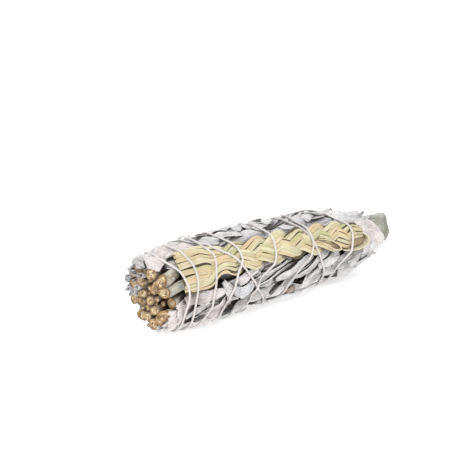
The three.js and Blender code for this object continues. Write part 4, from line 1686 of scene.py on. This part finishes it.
class Nodes:
    """A short way to build a material's nodes."""

    def __init__(self, name: str) -> None:
        """Start a material with only its shader and output.

        Args:
            name: the material's name.
        """
        self.material = bpy.data.materials.new(name)
        self.material.use_nodes = True
        self.tree = self.material.node_tree
        self.shader = next(one for one in self.tree.nodes if one.type == "BSDF_PRINCIPLED")

    def add(self, kind: str, inputs: dict | None = None, **settings: object) -> bpy.types.Node:
        """Add a node.

        Args:
            kind: its type.
            inputs: its socket values or the sockets linked to them, by name or index.
            settings: its own settings.

        Returns:
            The node.
        """
        node = self.tree.nodes.new(kind)
        for key, value in settings.items():
            setattr(node, key, value)
        for key, value in (inputs or {}).items():
            self.set(node, key, value)
        return node

    def set(self, node: bpy.types.Node, key: str | int, value: object) -> None:
        """Set or link one input.

        Args:
            node: the node.
            key: the input's name or index.
            value: a value or a socket.
        """
        if isinstance(value, bpy.types.NodeSocket):
            self.tree.links.new(value, node.inputs[key])
        else:
            node.inputs[key].default_value = value

    def value(self, name: str) -> bpy.types.NodeSocket:
        """Read an attribute of the mesh as a number."""
        return self.add("ShaderNodeAttribute", attribute_name=name).outputs["Fac"]

    def math(self, operation: str, a: object, b: object = 0.0) -> bpy.types.NodeSocket:
        """Reckon with two numbers."""
        return self.add("ShaderNodeMath", {0: a, 1: b}, operation=operation).outputs[0]

    def mix(self, share: object, a: object, b: object, blend: str = "MIX") -> bpy.types.NodeSocket:
        """Mix two colours.

        Args:
            share: how much of the second.
            a: the first.
            b: the second.
            blend: the way to mix.

        Returns:
            The colour.
        """
        node = self.add("ShaderNodeMix", data_type="RGBA", blend_type=blend)
        for key, value in (("Factor", share), ("A", a), ("B", b)):
            sockets = [one for one in node.inputs if one.name == key and one.type in ("VALUE", "RGBA")]
            socket = sockets[0] if key == "Factor" else next(one for one in sockets if one.type == "RGBA")
            if isinstance(value, bpy.types.NodeSocket):
                self.tree.links.new(value, socket)
            else:
                socket.default_value = value
        return next(one for one in node.outputs if one.type == "RGBA")

    def ramp(self, share: bpy.types.NodeSocket, stops: Sequence[tuple]) -> bpy.types.NodeSocket:
        """Map a number to colours.

        Args:
            share: the number.
            stops: the colours and their places.

        Returns:
            The colour.
        """
        node = self.add("ShaderNodeValToRGB", {"Fac": share})
        band = node.color_ramp
        while len(band.elements) < len(stops):
            band.elements.new(0.5)
        for element, (place, colour) in zip(band.elements, stops):
            element.position = place
            element.color = (*colour, 1)
        return node.outputs["Color"]

    def grey(self, share: bpy.types.NodeSocket, low: float, high: float) -> bpy.types.NodeSocket:
        """Map a number between two limits to 0 and 1."""
        return self.add("ShaderNodeMapRange", {"Value": share, "From Min": low, "From Max": high}).outputs[0]

    def bump(self, height: bpy.types.NodeSocket, distance: float, strength: float = 1.0,
             normal: bpy.types.NodeSocket | None = None) -> bpy.types.NodeSocket:
        """Turn a height into a bumped normal.

        Args:
            height: the height.
            distance: its reach in metres.
            strength: its strength.
            normal: the normal to start from.

        Returns:
            The normal.
        """
        inputs = {"Height": height, "Distance": distance, "Strength": strength}
        if normal is not None:
            inputs["Normal"] = normal
        return self.add("ShaderNodeBump", inputs).outputs["Normal"]

    def ridges(self, place: bpy.types.NodeSocket, scale: float) -> bpy.types.NodeSocket:
        """Give a height with sharp irregular creases, as of crumpled paper."""
        noise = self.add("ShaderNodeTexNoise", {"Vector": place, "Scale": scale, "Detail": 2.0, "Distortion": 0.5})
        return self.math("ABSOLUTE", self.math("SUBTRACT", noise.outputs["Fac"], 0.5))

    def uv(self, scale: Sequence[float]) -> bpy.types.NodeSocket:
        """Read the piece's own map, stretched."""
        place = self.add("ShaderNodeUVMap", uv_map="Along").outputs["UV"]
        return self.add("ShaderNodeMapping", {"Vector": place, "Scale": scale}).outputs["Vector"]

    def space(self, scale: Sequence[float] = (1, 1, 1)) -> bpy.types.NodeSocket:
        """Read the place on the object, stretched."""
        place = self.add("ShaderNodeTexCoord").outputs["Object"]
        return self.add("ShaderNodeMapping", {"Vector": place, "Scale": scale}).outputs["Vector"]


@dataclass(frozen=True)
class SageLeafFinish:
    """Felted leaf: pale lilac grey, some pinkish and some greenish, with a net of veins; shade is painted into its
    hollows and creases, and a painted highlight along its rims.
    """

    pink: tuple[float, float, float] = (0.70, 0.625, 0.605)
    lilac: tuple[float, float, float] = (0.61, 0.595, 0.605)
    white: tuple[float, float, float] = (0.72, 0.70, 0.69)
    green: tuple[float, float, float] = (0.28, 0.29, 0.205)
    blue: tuple[float, float, float] = (0.49, 0.505, 0.54)
    grey: tuple[float, float, float] = (0.52, 0.49, 0.48)
    brown: tuple[float, float, float] = (0.21, 0.105, 0.055)
    # edge: the colour of the painted highlight on leaf rims.
    edge: tuple[float, float, float] = (0.78, 0.755, 0.74)
    painted_shade: tuple[float, float, float] = (0.032, 0.022, 0.019)
    roughness: float = 0.92
    fuzz: float = 0.25

    def make(self) -> bpy.types.Material:
        """Build the material.

        Returns:
            The material.
        """
        n = Nodes("sage_leaf")
        tint, shade = n.value("tint"), n.value("shade")
        colour = n.ramp(tint, [(0.0, self.green), (0.1, self.blue), (0.28, self.lilac), (0.45, self.white),
                               (0.63, self.pink), (0.76, self.white), (0.86, self.lilac), (0.93, self.grey),
                               (0.99, self.brown)])
        cloud = n.add("ShaderNodeTexNoise", {"Vector": n.space(), "Scale": 260.0, "Detail": 3.0}).outputs["Fac"]
        colour = n.mix(n.math("MULTIPLY", n.grey(cloud, 0.4, 0.75), 0.6), colour, (0.56, 0.54, 0.54, 1))
        net = n.add("ShaderNodeTexVoronoi", {"Vector": n.uv((10, 15, 1)), "Scale": 1.0}, feature="DISTANCE_TO_EDGE")
        veins = n.grey(net.outputs["Distance"], 0.0, 0.22)
        colour = n.mix(n.math("MULTIPLY", n.math("SUBTRACT", 1.0, veins), 0.16), colour, (0.27, 0.26, 0.27, 1))
        # Painted shade: thin deep grey lines along noise ridges, in the leaf's own map and in space, stand for the
        # shade in its creases; the same noises also bump the surface.
        creased, torn = n.ridges(n.uv((2.2, 6.5, 1)), 1.0), n.ridges(n.space((240, 460, 460)), 1.0)
        lines = n.math("MULTIPLY", n.math("SUBTRACT", 1.0, n.grey(creased, 0.0, 0.03)), 0.5)
        colour = n.mix(lines, colour, (0.15, 0.14, 0.15, 1))
        lines = n.math("MULTIPLY", n.math("SUBTRACT", 1.0, n.grey(torn, 0.0, 0.02)), 0.25)
        colour = n.mix(lines, colour, (0.2, 0.18, 0.18, 1))
        # Painted highlight: the side rims of each sheet are painted lighter, as light caught on a curled leaf edge.
        colour = n.mix(n.math("MULTIPLY", n.value("out"), 0.35), colour, (*self.edge, 1))
        # Painted shade: mixes the leaf toward the painted shade colour where it lies under other leaves or in hollows.
        deep = n.math("POWER", shade, 0.8)
        colour = n.mix(deep, colour, (*self.painted_shade, 1))
        n.set(n.shader, "Base Color", colour)
        n.set(n.shader, "Roughness", self.roughness)
        n.set(n.shader, "Sheen Weight", self.fuzz)
        n.set(n.shader, "Specular IOR Level", 0.25)
        rib = n.add("ShaderNodeSeparateXYZ", {"Vector": n.uv((1, 1, 1))})
        middle = n.grey(n.math("ABSOLUTE", rib.outputs["Y"]), 0.0, 0.06)
        felt = n.add("ShaderNodeTexNoise", {"Vector": n.space(), "Scale": 2200.0, "Detail": 2.0}).outputs["Fac"]
        normal = n.bump(creased, 0.0011)
        normal = n.bump(torn, 0.0008, 0.9, normal)
        normal = n.bump(veins, 0.00013, 1.0, normal)
        normal = n.bump(middle, 0.0003, 0.8, normal)
        n.set(n.shader, "Normal", n.bump(felt, 0.00008, 0.7, normal))
        return n.material


@dataclass(frozen=True)
class BarkFinish:
    """Grey-beige stem with fine lengthwise lines and a trace of felt, with shade painted on the stems inside the
    bundle behind the cut.
    """

    pale: tuple[float, float, float] = (0.52, 0.51, 0.42)
    brown: tuple[float, float, float] = (0.30, 0.25, 0.16)
    painted_shade: tuple[float, float, float] = (0.10, 0.042, 0.014)

    def make(self) -> bpy.types.Material:
        """Build the material.

        Returns:
            The material.
        """
        n = Nodes("sage_bark")
        lines = n.add("ShaderNodeTexNoise", {"Vector": n.space((90, 1400, 1400)), "Scale": 1.0, "Detail": 4.0})
        patch = n.add("ShaderNodeTexNoise", {"Vector": n.space(), "Scale": 300.0, "Detail": 2.0})
        colour = n.mix(n.grey(lines.outputs["Fac"], 0.4, 0.65), (*self.pale, 1), (*self.brown, 1))
        colour = n.mix(n.grey(patch.outputs["Fac"], 0.45, 0.7), colour, (0.38, 0.38, 0.34, 1))
        cut = n.math("SUBTRACT", 1.0, n.grey(n.value("along"), 0.0, 0.22))
        colour = n.mix(n.math("MULTIPLY", cut, 0.75), colour, (0.13, 0.07, 0.03, 1))
        # Painted shade: mixes the bark toward the painted shade colour where the stem lies inside the bundle.
        colour = n.mix(n.value("shade"), colour, (*self.painted_shade, 1))
        n.set(n.shader, "Base Color", colour)
        n.set(n.shader, "Roughness", 0.85)
        knots = n.add("ShaderNodeTexNoise", {"Vector": n.space((250, 500, 500)), "Scale": 1.0}).outputs["Fac"]
        normal = n.bump(knots, 0.0012)
        n.set(n.shader, "Normal", n.bump(lines.outputs["Fac"], 0.0006, 1.0, normal))
        return n.material


@dataclass(frozen=True)
class CutFinish:
    """Cut wood: pale pith, golden wood and a brown rim."""

    pith: tuple[float, float, float] = (0.76, 0.65, 0.44)
    wood: tuple[float, float, float] = (0.40, 0.26, 0.11)
    rim: tuple[float, float, float] = (0.08, 0.035, 0.012)
    stained: tuple[float, float, float] = (0.36, 0.175, 0.055)

    def make(self) -> bpy.types.Material:
        """Build the material.

        Returns:
            The material.
        """
        n = Nodes("sage_cut")
        out = n.value("out")
        sway = n.add("ShaderNodeTexNoise", {"Vector": n.space(), "Scale": 700.0, "Detail": 2.0}).outputs["Fac"]
        out = n.math("ADD", out, n.math("MULTIPLY", n.math("SUBTRACT", sway, 0.5), 0.55))
        colour = n.ramp(out, [(0.0, (0.12, 0.07, 0.03)), (0.13, self.pith), (0.42, self.pith),
                              (0.5, (0.26, 0.16, 0.07)), (0.58, self.wood), (0.7, (0.58, 0.43, 0.24)),
                              (0.78, self.wood), (0.87, self.rim)])
        colour = n.mix(n.math("MULTIPLY", n.value("tint"), 0.6), colour, (*self.stained, 1))
        grain = n.add("ShaderNodeTexNoise", {"Vector": n.space(), "Scale": 1500.0, "Detail": 3.0}).outputs["Fac"]
        colour = n.mix(n.grey(grain, 0.42, 0.72), colour, (0.16, 0.09, 0.04, 1))
        stain = n.add("ShaderNodeTexNoise", {"Vector": n.space(), "Scale": 420.0, "Detail": 2.0}).outputs["Fac"]
        colour = n.mix(n.math("MULTIPLY", n.grey(stain, 0.5, 0.62), 0.75), colour, (0.10, 0.05, 0.018, 1))
        n.set(n.shader, "Base Color", colour)
        n.set(n.shader, "Roughness", 0.8)
        n.set(n.shader, "Normal", n.bump(grain, 0.0004))
        return n.material


@dataclass(frozen=True)
class GrassFinish:
    """Dried grass: straw yellow with green, lengthwise ribs and a soft gloss, with shade painted where strands dip
    under others, along blade edges and on the blade beneath.
    """

    straw: tuple[float, float, float] = (0.55, 0.475, 0.285)
    pale: tuple[float, float, float] = (0.71, 0.66, 0.49)
    green: tuple[float, float, float] = (0.46, 0.45, 0.235)
    tan: tuple[float, float, float] = (0.66, 0.49, 0.32)
    painted_shade: tuple[float, float, float] = (0.06, 0.045, 0.018)

    def make(self) -> bpy.types.Material:
        """Build the material.

        Returns:
            The material.
        """
        n = Nodes("sweetgrass_blade")
        tint, shade = n.value("tint"), n.value("shade")
        colour = n.ramp(tint, [(0.0, self.green), (0.22, self.straw), (0.45, self.pale), (0.6, self.tan),
                               (0.75, self.straw), (0.88, self.pale), (1.0, self.green)])
        patch = n.add("ShaderNodeTexNoise", {"Vector": n.uv((2.5, 10, 1)), "Scale": 1.0, "Detail": 3.0})
        colour = n.mix(n.math("MULTIPLY", n.grey(patch.outputs["Fac"], 0.5, 0.75), 0.6), colour, (*self.green, 1))
        dried = n.math("SUBTRACT", 1.0, n.grey(n.value("along"), 0.1, 1.3))
        colour = n.mix(n.math("MULTIPLY", dried, 0.32), colour, (*self.tan, 1))
        ribs = n.add("ShaderNodeTexNoise", {"Vector": n.uv((1.5, 90, 1)), "Scale": 1.0, "Detail": 2.0})
        colour = n.mix(n.math("MULTIPLY", n.grey(ribs.outputs["Fac"], 0.45, 0.7), 0.6), colour, (0.34, 0.285, 0.13, 1))
        # Painted shade: mixes the blades toward the painted shade colour by their shade.
        colour = n.mix(n.math("POWER", shade, 1.4), colour, (*self.painted_shade, 1))
        n.set(n.shader, "Base Color", colour)
        n.set(n.shader, "Roughness", 0.6)
        n.set(n.shader, "Normal", n.bump(ribs.outputs["Fac"], 0.00025))
        return n.material


@dataclass(frozen=True)
class CottonFinish:
    """Off-white cotton yarn with fine fibres."""

    colour: tuple[float, float, float] = (0.57, 0.53, 0.515)

    def make(self) -> bpy.types.Material:
        """Build the material.

        Returns:
            The material.
        """
        n = Nodes("cotton_cord")
        fibre = n.add("ShaderNodeTexNoise", {"Vector": n.space(), "Scale": 3500.0, "Detail": 3.0}).outputs["Fac"]
        colour = n.mix(n.grey(fibre, 0.5, 0.8), (*self.colour, 1), (0.4, 0.37, 0.35, 1))
        n.set(n.shader, "Base Color", colour)
        n.set(n.shader, "Roughness", 0.95)
        n.set(n.shader, "Sheen Weight", 0.3)
        n.set(n.shader, "Normal", n.bump(fibre, 0.00015))
        return n.material


@dataclass
class Finishes:
    """Every material of the stick, built once."""

    leaf: bpy.types.Material = field(default_factory=lambda: SageLeafFinish().make())
    bark: bpy.types.Material = field(default_factory=lambda: BarkFinish().make())
    cut: bpy.types.Material = field(default_factory=lambda: CutFinish().make())
    grass: bpy.types.Material = field(default_factory=lambda: GrassFinish().make())
    cotton: bpy.types.Material = field(default_factory=lambda: CottonFinish().make())


@dataclass
class Studio:
    """A white table, soft lights and the camera at the photograph's place."""

    bundle: Bundle
    eye: tuple[float, float, float] = (-117.49, -215.54, 113.12)
    forward: tuple[float, float, float] = (0.5597, 0.7628, -0.3237)
    focal_pixels: float = 634.2
    frame_pixels: float = 450.0
    sensor: float = 36.0

    def make(self) -> None:
        """Build the floor, the lights and the camera."""
        self._floor()
        self._camera()
        self._light("key", (-0.45, -0.35, 0.85), 0.32, 6.9)
        self._light("fill", (-0.1, -0.8, 0.22), 0.6, 0.6)
        self._light("over", (0.25, 0.45, 0.7), 0.6, 2.6)
        world = bpy.data.worlds.new("studio")
        world.use_nodes = True
        sky = next(one for one in world.node_tree.nodes if one.type == "BACKGROUND")
        sky.inputs["Color"].default_value = (1, 1, 1, 1)
        rays = world.node_tree.nodes.new("ShaderNodeLightPath")
        seen = world.node_tree.nodes.new("ShaderNodeMath")
        seen.operation = "MULTIPLY_ADD"
        seen.inputs[1].default_value, seen.inputs[2].default_value = 0.4, 0.82
        world.node_tree.links.new(rays.outputs["Is Camera Ray"], seen.inputs[0])
        world.node_tree.links.new(seen.outputs["Value"], sky.inputs["Strength"])
        bpy.context.scene.world = world
        bpy.context.scene.view_settings.view_transform = "Standard"

    def _floor(self) -> None:
        """Lay the table."""
        bm = bmesh.new()
        bmesh.ops.create_grid(bm, x_segments=2, y_segments=2, size=12.0)
        n = Nodes("table")
        speck = n.add("ShaderNodeTexNoise", {"Vector": n.space(), "Scale": 40.0}).outputs["Fac"]
        n.set(n.shader, "Base Color", n.mix(speck, (0.93, 0.93, 0.93, 1), (0.95, 0.95, 0.95, 1)))
        n.set(n.shader, "Roughness", 0.9)
        n.set(n.shader, "Emission Color", (1, 1, 1, 1))
        n.set(n.shader, "Emission Strength", 0.5)
        finished(bm, "table", (n.material,))

    def _camera(self) -> None:
        """Stand the camera where the photograph was taken from."""
        lens = self.focal_pixels / self.frame_pixels * self.sensor
        data = bpy.data.cameras.new("camera")
        data.lens, data.sensor_width = lens, self.sensor
        data.clip_start, data.clip_end = 0.01, 20
        camera = bpy.data.objects.new("camera", data)
        middle = (self.bundle.stem_end_x, self.bundle.axis_y, self.bundle.axis_z)
        camera.location = [(a + b) * MM for a, b in zip(self.eye, middle)]
        camera.rotation_euler = Vector(self.forward).to_track_quat("-Z", "Y").to_euler()
        bpy.context.scene.collection.objects.link(camera)
        bpy.context.scene.camera = camera

    def _light(self, name: str, place: Sequence[float], size: float, power: float) -> None:
        """Hang one soft lamp that faces the stick.

        Args:
            name: its name.
            place: where it hangs, in metres.
            size: its side.
            power: its power in watts.
        """
        data = bpy.data.lights.new(name, "AREA")
        data.size, data.energy = size, power
        lamp = bpy.data.objects.new(name, data)
        lamp.location = place
        lamp.rotation_euler = (-Vector(place)).to_track_quat("-Z", "Y").to_euler()
        bpy.context.scene.collection.objects.link(lamp)


def main() -> None:
    """Build the stick and its studio."""
    logging.basicConfig(level=logging.INFO, format="%(name)s: %(message)s")
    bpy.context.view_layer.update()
    bundle = Bundle()
    Studio(bundle).make()
    finishes = Finishes()
    route = StringRoute()
    loops = (
        GrassLoop(((96, 6.0), (102, 7.0), (108, 7.2), (112.4, 6.2), (113.2, 3.6), (111, 1.2), (106, 0.2), (101, 0.4)),
                  0.2, 4.1),
        GrassLoop(((80, 0.2), (84, 2.6), (88, 4.6), (92.4, 5.6), (92.8, 4.4), (89.5, 2.2), (85, 0.6), (81, 0.0)),
                  1.4, 4.3, 0.5),
    )
    plait = Plait(loops=loops)
    sage = SageBundle(bundle)
    press = Press(bundle, sage.pile, route, plait)
    sage.make(press, finishes)
    plait.make(bundle, press, finishes)
    CottonString(route).make(bundle, press, finishes)
    bpy.context.view_layer.update()
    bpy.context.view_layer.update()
    for piece in bpy.context.scene.objects:
        if piece.name.endswith("_dressed"):
            piece.data.calc_loop_triangles()
            log.info("%s: %d triangles", piece.name, len(piece.data.loop_triangles))


if __name__ == "__main__":
    main()
